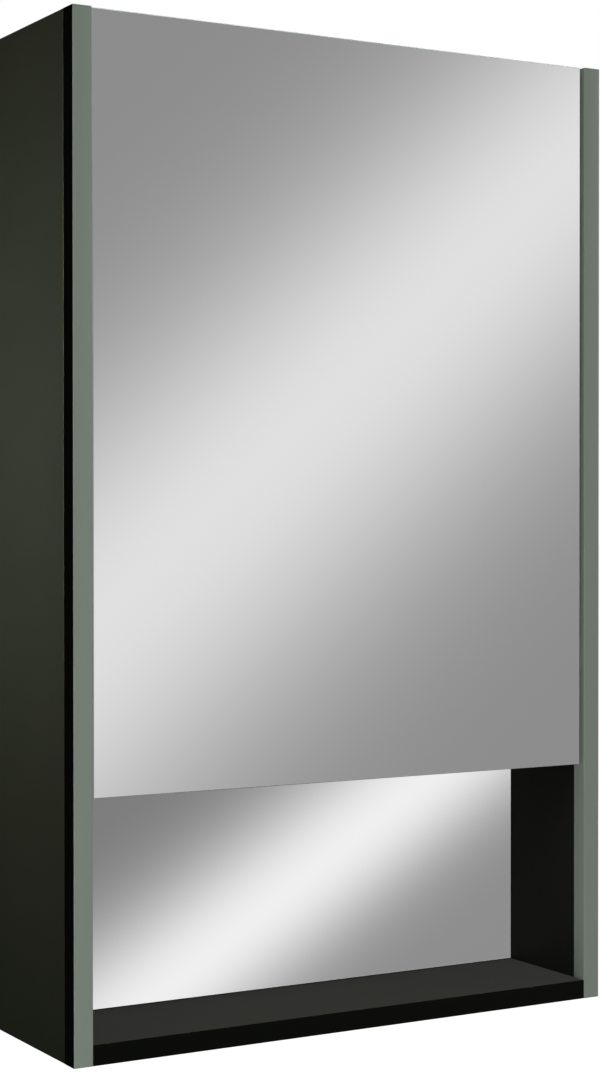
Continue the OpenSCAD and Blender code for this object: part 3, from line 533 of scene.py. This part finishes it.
def platedMetal(name, dark, pale, rough, patch):
    # steel or zinc under a plated coat: metallic, with soft patches of tone where the coat varies
    material, tree, shader, place = newMaterial(name, Metallic=1.0, Roughness=rough)
    cloud = addNode(tree, "ShaderNodeTexNoise",
                    {"Vector": place, "Scale": 1 / patch, "Detail": 4.0}).outputs[0]
    colour = addNode(tree, "ShaderNodeValToRGB", {"Fac": cloud})
    colour.color_ramp.elements[0].color = linear(dark)
    colour.color_ramp.elements[1].color = linear(pale)
    tree.links.new(colour.outputs[0], shader.inputs["Base Color"])
    swing = 0.06
    varied = addNode(tree, "ShaderNodeMapRange", {"Value": cloud, "To Min": rough - swing,
                                                  "To Max": rough + swing}).outputs[0]
    tree.links.new(varied, shader.inputs["Roughness"])
    return material


def mouldedPlastic(name, dark, pale, rough, grit, **sockets):
    # moulded or pressed in a mould with a fine eroded grain: an even tone that takes soft highlights
    material, tree, shader, place = newMaterial(name, Roughness=rough, **sockets)
    grain = addNode(tree, "ShaderNodeTexNoise", {"Vector": place, "Scale": 1 / grit}).outputs[0]
    colour = addNode(tree, "ShaderNodeValToRGB", {"Fac": grain})
    colour.color_ramp.elements[0].color = linear(dark)
    colour.color_ramp.elements[1].color = linear(pale)
    tree.links.new(colour.outputs[0], shader.inputs["Base Color"])
    bump = addNode(tree, "ShaderNodeBump",
                   {"Height": grain, "Strength": 0.2, "Distance": 0.03 * mm}).outputs[0]
    tree.links.new(bump, shader.inputs["Normal"])
    return material


finish = {
    "melamine": graphiteMelamine(),
    "chipboard": rawChipboard(),
    "edging": blackEdging(),
    "aluminium": satinAluminium(),
    "paintedDark": blackFilm(),
    "silver": silveredGlass(),
    "groundEdge": groundGlassEdge(),
    "glass": clearShelfGlass(),
    "greenEdge": greenGlassEdge(),
    "hardboard": rawHardboard(),
    "beech": turnedBeech(),
    "nickel": platedMetal("nickelPlatedSteel", "#B3B0A8", "#C9C6BE", 0.24, 9 * mm),
    "zinc": platedMetal("zincPlatedSteel", "#9FA4A8", "#B9BDC0", 0.34, 5 * mm),
    "dieCast": platedMetal("dieCastZinc", "#8B8E90", "#A2A4A5", 0.42, 3 * mm),
    "plastic": mouldedPlastic("mouldedGreyPlastic", "#A9ABA9", "#B3B5B3", 0.48, 0.5 * mm),
    "rubber": mouldedPlastic("clearSiliconeRubber", "#D5DAD8", "#E3E7E5", 0.3, 0.8 * mm,
                             Transmission_Weight=0.6, IOR=1.41),
    "ferrite": mouldedPlastic("sinteredFerrite", "#26272A", "#3A3B3E", 0.6, 0.3 * mm),
}
print("materials made:", len(finish))


# pieces: merged copies of the CAD nodes, with eased edges and a finish for each kind of face
copyPlan = {
    "merge": 0.002,  # millimetres between corners that become one
    "fine": 0.0005,  # the same for threads, and the length of an edge too short to keep
    "flat": 0.5,  # degrees between faces that become one
}


def rawCopy(nodeName):
    source = frame["nodes"][nodeName].data
    bm = bmesh.new()
    made = [bm.verts.new(vertex.co) for vertex in source.vertices]
    for polygon in source.polygons:
        corners = [made[index] for index in polygon.vertices]
        if len(set(corners)) > 2:
            bm.faces.new(corners)
    bmesh.ops.remove_doubles(bm, verts=bm.verts, dist=copyPlan["merge"] * mm)
    bmesh.ops.dissolve_degenerate(bm, edges=bm.edges, dist=copyPlan["fine"] * mm)
    bmesh.ops.dissolve_limit(bm, angle_limit=math.radians(copyPlan["flat"]), verts=bm.verts, edges=bm.edges)
    bm.normal_update()
    return bm


edgePlan = {
    "board": (0.3, 20),  # millimetres: width of the eased edge, and the shortest edge that gets one
    "backPanel": (0.2, 8),
    "mirror": (0.15, 0),
    "shelf": (0.6, 0),
    "profile": (0.15, 3),
    "longOnly": {"cam_locks": 1.5, "door_bumpers": 1.5},  # fittings whose shorter edges stay sharp
    "steepFrom": 35,  # degrees between two faces from which their edge is eased
    "sharpFrom": 32,  # degrees from which an edge is shaded sharp
    "rounds": 2,  # strips across an eased edge
}


def onPiece(bm, name, nodeNames, body, easing=(0, 0)):
    # turns a bmesh into a finished piece that stands for its CAD nodes
    width, shortest = (value * mm for value in easing)
    steep = math.radians(edgePlan["steepFrom"])
    weight = bm.edges.layers.float.get("bevel_weight_edge") or bm.edges.layers.float.new("bevel_weight_edge")
    for edge in bm.edges:
        if edge.is_manifold and edge.calc_face_angle(0) > steep and edge.calc_length() > shortest:
            edge[weight] = 1
    mesh = bpy.data.meshes.new(name)
    bm.to_mesh(mesh)
    bm.free()
    mesh.polygons.foreach_set("use_smooth", [True] * len(mesh.polygons))
    mesh.set_sharp_from_angle(angle=math.radians(edgePlan["sharpFrom"]))
    piece = bpy.data.objects.new(name, mesh)
    bpy.context.scene.collection.objects.link(piece)
    if width:
        bevel = piece.modifiers.new("easedEdges", "BEVEL")
        bevel.limit_method = "WEIGHT"
        bevel.width = width
        bevel.segments = edgePlan["rounds"]
        bevel.use_clamp_overlap = True
        bevel.harden_normals = True
    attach(piece, body)
    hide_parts(*nodeNames)
    return piece


def extent(bm):
    low = [min(vertex.co[axis] for vertex in bm.verts) for axis in range(3)]
    high = [max(vertex.co[axis] for vertex in bm.verts) for axis in range(3)]
    return low, high


facePlan = {
    "squarely": 0.9,  # how straight a face has to look that way, as a cosine
    "within": 0.3,  # millimetres from that side of the box
}


def paintFaces(bm, low, high, rules, rest):
    # rules: (axis, side, finish index); a face on that side of the box, facing it, takes that finish
    for face in bm.faces:
        face.material_index = rest
        middle = face.calc_center_median()
        for axis, side, index in rules:
            edgeOfBox = high[axis] if side > 0 else low[axis]
            squarely = face.normal[axis] * side > facePlan["squarely"]
            if squarely and abs(middle[axis] - edgeOfBox) < facePlan["within"] * mm:
                face.material_index = index
                break


# boards: which way each is thin, and which of its other faces carry a black edge band
boardPlan = {
    "side_panel_left": {"thin": 0, "banded": [(2, 1), (2, -1)]},
    "side_panel_right": {"thin": 0, "banded": [(2, 1), (2, -1)]},
    "top_panel": {"thin": 2, "banded": []},
    "middle_panel": {"thin": 2, "banded": []},
    "bottom_panel": {"thin": 2, "banded": []},
    "niche_back_board": {"thin": 1, "banded": []},
    "door_panel": {"thin": 1, "banded": []},
}


def makeBoards(plan):
    for node, board in plan.items():
        bm = rawCopy(node)
        low, high = extent(bm)
        rules = [(board["thin"], 1, 0), (board["thin"], -1, 0)]
        rules += [(axis, side, 2) for axis, side in board["banded"]]
        paintFaces(bm, low, high, rules, 1)
        body = "door" if node.startswith("door") else "carcass"
        piece = onPiece(bm, node + "_faced", [node], body, edgePlan["board"])
        for key in ("melamine", "chipboard", "edging"):
            piece.data.materials.append(finish[key])


def makeBackPanel():
    bm = rawCopy("back_panel")
    low, high = extent(bm)
    paintFaces(bm, low, high, [(1, -1, 0)], 1)
    piece = onPiece(bm, "back_panel_faced", ["back_panel"], "carcass", edgePlan["backPanel"])
    piece.data.materials.append(finish["melamine"])
    piece.data.materials.append(finish["hardboard"])


def makePanes():
    for node, body in (("door_mirror", "door"), ("niche_mirror", "carcass")):
        bm = rawCopy(node)
        low, high = extent(bm)
        paintFaces(bm, low, high, [(1, -1, 0)], 1)
        piece = onPiece(bm, node + "_silvered", [node], body, edgePlan["mirror"])
        piece.data.materials.append(finish["silver"])
        piece.data.materials.append(finish["groundEdge"])
    for node in ("glass_shelf_lower", "glass_shelf_upper"):
        bm = rawCopy(node)
        low, high = extent(bm)
        paintFaces(bm, low, high, [(2, 1, 0), (2, -1, 0)], 1)
        piece = onPiece(bm, node + "_polished", [node], "carcass", edgePlan["shelf"])
        piece.data.materials.append(finish["glass"])
        piece.data.materials.append(finish["greenEdge"])


# edge profiles: an outline with rounded corners, drawn along the height of the side boards
profilePlan = {
    "face": 1.5,  # millimetres, as all below
    "wall": 1.2,
    "outerFlange": 17.0,
    "innerFlange": 13.6,
    "corner": 0.8,
    "lip": 0.15,
    "cornerSteps": 4,
}


def profileTree():
    tree, given = newTree("edgeProfile", {"Bottom": "Float", "Top": "Float", "Corner Steps": "Int",
                                          "Material": "Material"})
    loop = addNode(tree, "GeometryNodeMeshToCurve", {"Mesh": given["Geometry"]}).outputs[0]
    radius = addNode(tree, "GeometryNodeInputNamedAttribute", {"Name": "corner"},
                     data_type="FLOAT").outputs[0]
    rounded = addNode(tree, "GeometryNodeFilletCurve", {"Curve": loop, "Count": given["Corner Steps"],
                                                        "Radius": radius}, mode="POLY").outputs[0]
    foot = addNode(tree, "ShaderNodeCombineXYZ", {"Z": given["Bottom"]}).outputs[0]
    head = addNode(tree, "ShaderNodeCombineXYZ", {"Z": given["Top"]}).outputs[0]
    path = addNode(tree, "GeometryNodeCurvePrimitiveLine", {"Start": foot, "End": head}).outputs[0]
    swept = addNode(tree, "GeometryNodeCurveToMesh", {"Curve": path, "Profile Curve": rounded,
                                                      "Fill Caps": True}).outputs[0]
    endTree(tree, swept, given["Material"])
    return tree


def makeProfiles(plan):
    tree = profileTree()
    for node, side in (("edge_profile_left", -1), ("edge_profile_right", 1)):
        low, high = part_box(node)
        inner, outer = (low.x, high.x) if side > 0 else (high.x, low.x)
        front = low.y
        wall, face, deep, shallow = (plan[key] * mm for key in ("wall", "face", "outerFlange", "innerFlange"))
        corner, lip = plan["corner"] * mm, plan["lip"] * mm
        corners = [(inner, front, corner), (outer, front, corner), (outer, front + deep, lip),
                   (outer - side * wall, front + deep, lip), (outer - side * wall, front + face, 0),
                   (inner + side * wall, front + face, 0), (inner + side * wall, front + shallow, lip),
                   (inner, front + shallow, lip)]
        outline = bpy.data.meshes.new("profileOutline")
        count = len(corners)
        outline.from_pydata([(x, y, 0) for x, y, radius in corners],
                            [(index, (index + 1) % count) for index in range(count)], [])
        outline.attributes.new("corner", "FLOAT", "POINT").data.foreach_set("value", [c[2] for c in corners])
        mesh = grow(tree, outline, {"Bottom": low.z, "Top": high.z, "Corner Steps": plan["cornerSteps"],
                                    "Material": finish["aluminium"]})
        bm = bmesh.new()
        bm.from_mesh(mesh)
        bmesh.ops.remove_doubles(bm, verts=bm.verts, dist=copyPlan["merge"] * mm)
        bmesh.ops.recalc_face_normals(bm, faces=bm.faces)
        # the outer flange takes the near-black colour, a painted dark reflection
        paintFaces(bm, *extent(bm), [(0, side, 1)], 0)
        piece = onPiece(bm, node + "_anodised", [node], "carcass", edgePlan["profile"])
        piece.data.materials.append(finish["aluminium"])
        piece.data.materials.append(finish["paintedDark"])
        for lamp, targets in lampTargets.items():
            targets.objects.link(piece)
            targets.collection_objects[-1].light_linking.link_state = lampPlan[lamp]["profiles"]


# screws: one tree turns a head, a cross recess and a threaded shank, and sets them at their points
screwPlan = {
    # millimetres
    "large": {"Head Radius": 3.6, "Head Height": 2.0, "Rim Height": 0.7,
              "Core Radius": 1.25, "Thread Radius": 1.75, "Point Radius": 0.15, "Length": 9.8, "Pitch": 1.7,
              "Cross Length": 4.2, "Cross Width": 0.9, "Cross Depth": 1.2},
    "small": {"Head Radius": 3.0, "Head Height": 1.8, "Rim Height": 0.6,
              "Core Radius": 1.05, "Thread Radius": 1.45, "Point Radius": 0.15, "Length": 8.0, "Pitch": 1.4,
              "Cross Length": 3.4, "Cross Width": 0.8, "Cross Depth": 1.0},
}
# node, size, body, and the way its heads face; None is towards the cabinet's middle
screwNodes = [
    ("back_panel_screws", "large", "carcass", (0, 1, 0)),
    ("hanger_fixing_screws", "large", "carcass", None),
    ("hinge_arm_screws_lower", "large", "carcass", (-1, 0, 0)),
    ("hinge_arm_screws_upper", "large", "carcass", (-1, 0, 0)),
    ("hinge_socket_screws_lower", "small", "door", (0, 1, 0)),
    ("hinge_socket_screws_upper", "small", "door", (0, 1, 0)),
    ("catch_screws", "small", "carcass", (0, 0, -1)),
]


def screwTree():
    headSides, shankSides, turnSteps, ridgeSides = 32, 20, 14, 3  # few, as every screw repeats them
    names = list(screwPlan["large"])
    tree, given = newTree("crossHeadScrew", {**{name: "Float" for name in names}, "Seed": "Int",
                                             "Material": "Material"})
    # domed head: the top of a disc sinks with the square of the distance from the axis
    disc = addNode(tree, "GeometryNodeMeshCylinder",
                   {"Vertices": headSides, "Side Segments": 1, "Fill Segments": 5,
                    "Radius": given["Head Radius"], "Depth": given["Head Height"]},
                   fill_type="TRIANGLE_FAN").outputs["Mesh"]
    half = addNode(tree, "ShaderNodeMath", {0: given["Head Height"], 1: 0.5}, operation="MULTIPLY").outputs[0]
    lift = addNode(tree, "ShaderNodeCombineXYZ", {"Z": half}).outputs[0]
    place = addNode(tree, "GeometryNodeInputPosition").outputs[0]
    height = addNode(tree, "ShaderNodeSeparateXYZ", {0: place}).outputs["Z"]
    isTop = addNode(tree, "FunctionNodeCompare", {0: height, 1: 0.0}, data_type="FLOAT",
                    operation="GREATER_THAN").outputs[0]
    flat = addNode(tree, "ShaderNodeVectorMath", {0: place, 1: (1, 1, 0)}, operation="MULTIPLY").outputs[0]
    away = addNode(tree, "ShaderNodeVectorMath", {0: flat}, operation="LENGTH").outputs["Value"]
    share = addNode(tree, "ShaderNodeMath", {0: away, 1: given["Head Radius"]}, operation="DIVIDE").outputs[0]
    squared = addNode(tree, "ShaderNodeMath", {0: share, 1: share}, operation="MULTIPLY").outputs[0]
    crown = addNode(tree, "ShaderNodeMath", {0: given["Rim Height"], 1: given["Head Height"]},
                    operation="SUBTRACT").outputs[0]
    sink = addNode(tree, "ShaderNodeMath", {0: squared, 1: crown}, operation="MULTIPLY").outputs[0]
    drop = addNode(tree, "ShaderNodeCombineXYZ", {"Z": sink}).outputs[0]
    domed = addNode(tree, "GeometryNodeSetPosition",
                    {"Geometry": disc, "Selection": isTop, "Offset": drop}).outputs[0]
    head = addNode(tree, "GeometryNodeTransform", {"Geometry": domed, "Translation": lift}).outputs[0]
    # cross recess: two tapered wedges taken out of the head, each a four-sided cone turned square to
    # the axes, whose corner radius is 0.7071 of its side; a little taller, to break out at the crown
    cornerShare, taller = 0.7071, 1.02
    reach = addNode(tree, "ShaderNodeMath", {0: given["Cross Length"], 1: cornerShare},
                    operation="MULTIPLY").outputs[0]
    point = addNode(tree, "ShaderNodeMath", {0: reach, 1: 0.5}, operation="MULTIPLY").outputs[0]
    wedge = addNode(tree, "GeometryNodeMeshCone", {"Vertices": 4, "Radius Top": reach, "Radius Bottom": point,
                                                   "Depth": given["Cross Depth"]}).outputs["Mesh"]
    square = addNode(tree, "GeometryNodeTransform",
                     {"Geometry": wedge, "Rotation": (0, 0, math.pi / 4)}).outputs[0]
    narrow = addNode(tree, "ShaderNodeMath", {0: given["Cross Width"], 1: given["Cross Length"]},
                     operation="DIVIDE").outputs[0]
    slim = addNode(tree, "ShaderNodeCombineXYZ", {"X": 1.0, "Y": narrow, "Z": taller}).outputs[0]
    under = addNode(tree, "ShaderNodeMath", {0: given["Head Height"], 1: given["Cross Depth"]},
                    operation="SUBTRACT").outputs[0]
    seat = addNode(tree, "ShaderNodeCombineXYZ", {"Z": under}).outputs[0]
    slot = addNode(tree, "GeometryNodeTransform",
                   {"Geometry": square, "Translation": seat, "Scale": slim}).outputs[0]
    crossing = addNode(tree, "GeometryNodeTransform",
                       {"Geometry": slot, "Rotation": (0, 0, math.pi / 2)}).outputs[0]
    cut = addNode(tree, "GeometryNodeMeshBoolean", {"Mesh 1": head, "Mesh 2": slot}, operation="DIFFERENCE")
    tree.links.new(crossing, cut.inputs["Mesh 2"])
    # shank: a core, its point, and a thread wound on it
    down = addNode(tree, "ShaderNodeMath", {0: given["Length"], 1: -1.0}, operation="MULTIPLY").outputs[0]
    low = addNode(tree, "ShaderNodeCombineXYZ", {"Z": down}).outputs[0]
    core = addNode(tree, "GeometryNodeMeshCone", {"Vertices": shankSides, "Radius Top": given["Core Radius"],
                                                  "Radius Bottom": given["Core Radius"],
                                                  "Depth": given["Length"]}).outputs["Mesh"]
    core = addNode(tree, "GeometryNodeTransform", {"Geometry": core, "Translation": low}).outputs[0]
    tip = addNode(tree, "GeometryNodeMeshCone", {"Vertices": shankSides, "Radius Top": given["Core Radius"],
                                                 "Radius Bottom": given["Point Radius"],
                                                 "Depth": given["Core Radius"]}).outputs["Mesh"]
    tipDown = addNode(tree, "ShaderNodeMath", {0: down, 1: given["Core Radius"]},
                      operation="SUBTRACT").outputs[0]
    tipLow = addNode(tree, "ShaderNodeCombineXYZ", {"Z": tipDown}).outputs[0]
    tip = addNode(tree, "GeometryNodeTransform", {"Geometry": tip, "Translation": tipLow}).outputs[0]
    turns = addNode(tree, "ShaderNodeMath", {0: given["Length"], 1: given["Pitch"]},
                    operation="DIVIDE").outputs[0]
    coil = addNode(tree, "GeometryNodeCurveSpiral", {"Resolution": turnSteps, "Rotations": turns,
                                                     "Start Radius": given["Core Radius"],
                                                     "End Radius": given["Core Radius"],
                                                     "Height": given["Length"]}).outputs[0]
    ridge = addNode(tree, "ShaderNodeMath", {0: given["Thread Radius"], 1: given["Core Radius"]},
                    operation="SUBTRACT").outputs[0]
    ridgeShape = addNode(tree, "GeometryNodeCurvePrimitiveCircle",
                         {"Resolution": ridgeSides, "Radius": ridge}).outputs[0]
    thread = addNode(tree, "GeometryNodeCurveToMesh", {"Curve": coil, "Profile Curve": ridgeShape,
                                                       "Fill Caps": True}).outputs[0]
    thread = addNode(tree, "GeometryNodeTransform", {"Geometry": thread, "Translation": low}).outputs[0]
    screw = addNode(tree, "GeometryNodeJoinGeometry")
    for part in (cut.outputs[0], core, tip, thread):
        tree.links.new(part, screw.inputs[0])
    # one at each point, along its axis, with the cross left where the last turn stopped
    axis = addNode(tree, "GeometryNodeInputNamedAttribute", {"Name": "axis"},
                   data_type="FLOAT_VECTOR").outputs[0]
    aim = addNode(tree, "FunctionNodeAlignRotationToVector", {"Vector": axis}, axis="Z").outputs[0]
    placed = addNode(tree, "GeometryNodeInstanceOnPoints",
                     {"Points": given["Geometry"], "Instance": screw.outputs[0], "Rotation": aim}).outputs[0]
    angle = addNode(tree, "FunctionNodeRandomValue", {2: 0.0, 3: math.pi / 2, "Seed": given["Seed"]},
                    data_type="FLOAT").outputs[1]
    twist = addNode(tree, "ShaderNodeCombineXYZ", {"Z": angle}).outputs[0]
    turned = addNode(tree, "GeometryNodeRotateInstances", {"Instances": placed, "Rotation": twist,
                                                           "Local Space": True}).outputs[0]
    endTree(tree, turned, given["Material"])
    return tree


def islandBoxes(nodeName):
    # the boxes of a node's separate solids, in a fixed order
    bm = rawCopy(nodeName)
    waiting, boxes = set(bm.verts), []
    for start in bm.verts:
        if start not in waiting:
            continue
        waiting.remove(start)
        island = [start]
        for vertex in island:
            for edge in vertex.link_edges:
                other = edge.other_vert(vertex)
                if other in waiting:
                    waiting.remove(other)
                    island.append(other)
        boxes.append(tuple(Vector([pick(v.co[axis] for v in island) for axis in range(3)])
                           for pick in (min, max)))
    bm.free()
    return sorted(boxes, key=lambda pair: [round(value, 4) for value in pair[0]])


def makeScrews(plan, nodes):
    tree = screwTree()
    for seed, (node, size, body, facing) in enumerate(nodes):
        points, axes = [], []
        for low, high in islandBoxes(node):
            middle = (low + high) / 2
            way = Vector(facing or (-math.copysign(1, middle.x), 0, 0))
            top = Vector([high[i] if way[i] > 0 else low[i] if way[i] < 0 else middle[i] for i in range(3)])
            points.append(top - way * plan[size]["Head Height"] * mm)
            axes.extend(way)
        seeds = bpy.data.meshes.new(node + "Points")
        seeds.from_pydata(points, [], [])
        seeds.attributes.new("axis", "FLOAT_VECTOR", "POINT").data.foreach_set("vector", axes)
        values = {name: value * mm for name, value in plan[size].items()}
        mesh = grow(tree, seeds, {**values, "Seed": seed, "Material": finish["zinc"]})
        bm = bmesh.new()
        bm.from_mesh(mesh)
        bmesh.ops.remove_doubles(bm, verts=bm.verts, dist=copyPlan["fine"] * mm)
        # the cap between core and point goes; the open edges where the cross's two bottoms overlap are
        # closed, which leaves three faces lying on each other in the middle
        inner = [face for face in bm.faces if all(len(edge.link_faces) > 2 for edge in face.edges)]
        bmesh.ops.delete(bm, geom=inner, context="FACES_ONLY")
        bmesh.ops.holes_fill(bm, edges=[edge for edge in bm.edges if edge.is_boundary], sides=4)
        bmesh.ops.recalc_face_normals(bm, faces=bm.faces)
        piece = onPiece(bm, node + "_threaded", [node], body)
        piece.data.materials.append(finish["zinc"])


# the rest: finish, record slot and easing in millimetres
fittingPlan = {
    "edging": ("black_edging", 0.25, ["top_edge_band", "middle_edge_band", "bottom_edge_band",
                                      "door_edge_band"]),
    "nickel": ("nickel_plated", 0.3, ["shelf_pins_lower", "shelf_pins_upper", "strike_plate",
                                      "hinge_pin_lower", "hinge_pin_upper", "hinge_arm_lower",
                                      "hinge_arm_upper", "hanger_hook_left", "hanger_hook_right",
                                      "hanger_screw_left", "hanger_screw_right", "cam_bolts"]),
    "dieCast": ("zinc_plated", 0.3, ["hinge_socket_lower", "hinge_socket_upper", "cam_locks"]),
    "zinc": ("zinc_plated", 0.3, ["wall_rail", "hanger_housing_left", "hanger_housing_right"]),
    "plastic": ("grey_plastic", 0.6, ["catch_body", "hanger_cover_left", "hanger_cover_right"]),
    "rubber": ("clear_rubber", 0.5, ["door_bumpers"]),
    "ferrite": ("magnet", 0.3, ["catch_magnet"]),
    "beech": ("beech", 0.6, ["dowels"]),
}


def makeFittings(plan):
    bodyOf = {node: body for body, nodes in frame["record"]["behaviour"]["bodies"].items() for node in nodes}
    for key, (slot, easing, nodes) in plan.items():
        for node in nodes:
            eased = (easing, edgePlan["longOnly"].get(node, 0))
            piece = onPiece(rawCopy(node), node + "_finished", [node], bodyOf[node], eased)
            piece.data.materials.append(finish[key])


makeBoards(boardPlan)
makeBackPanel()
makePanes()
makeProfiles(profilePlan)
makeScrews(screwPlan, screwNodes)
makeFittings(fittingPlan)
print("boards, panes, profiles and fittings finished")


# what is left of the CAD nodes keeps its shape and takes a finish
slotFinish = {"zinc_plated": "zinc", "nickel_plated": "nickel", "black_edging": "edging"}
materialOf = {entry["node"]: entry["material_slot"] for entry in frame["record"]["subparts"]}
for nodeName, holder in frame["nodes"].items():
    if holder.hide_render:
        continue
    holder.data.materials.clear()
    holder.data.materials.append(finish[slotFinish.get(materialOf.get(nodeName), "zinc")])
print("remaining nodes finished")

# the niche mirror shows the studio cards and not its own dark surround
for pieceName in ("side_panel_right_faced", "bottom_panel_faced", "edge_profile_right_anodised",
                  "bottom_edge_band_finished", "cam_locks_finished", "cam_bolts_finished", "dowels_finished"):
    bpy.data.objects[pieceName].visible_glossy = False
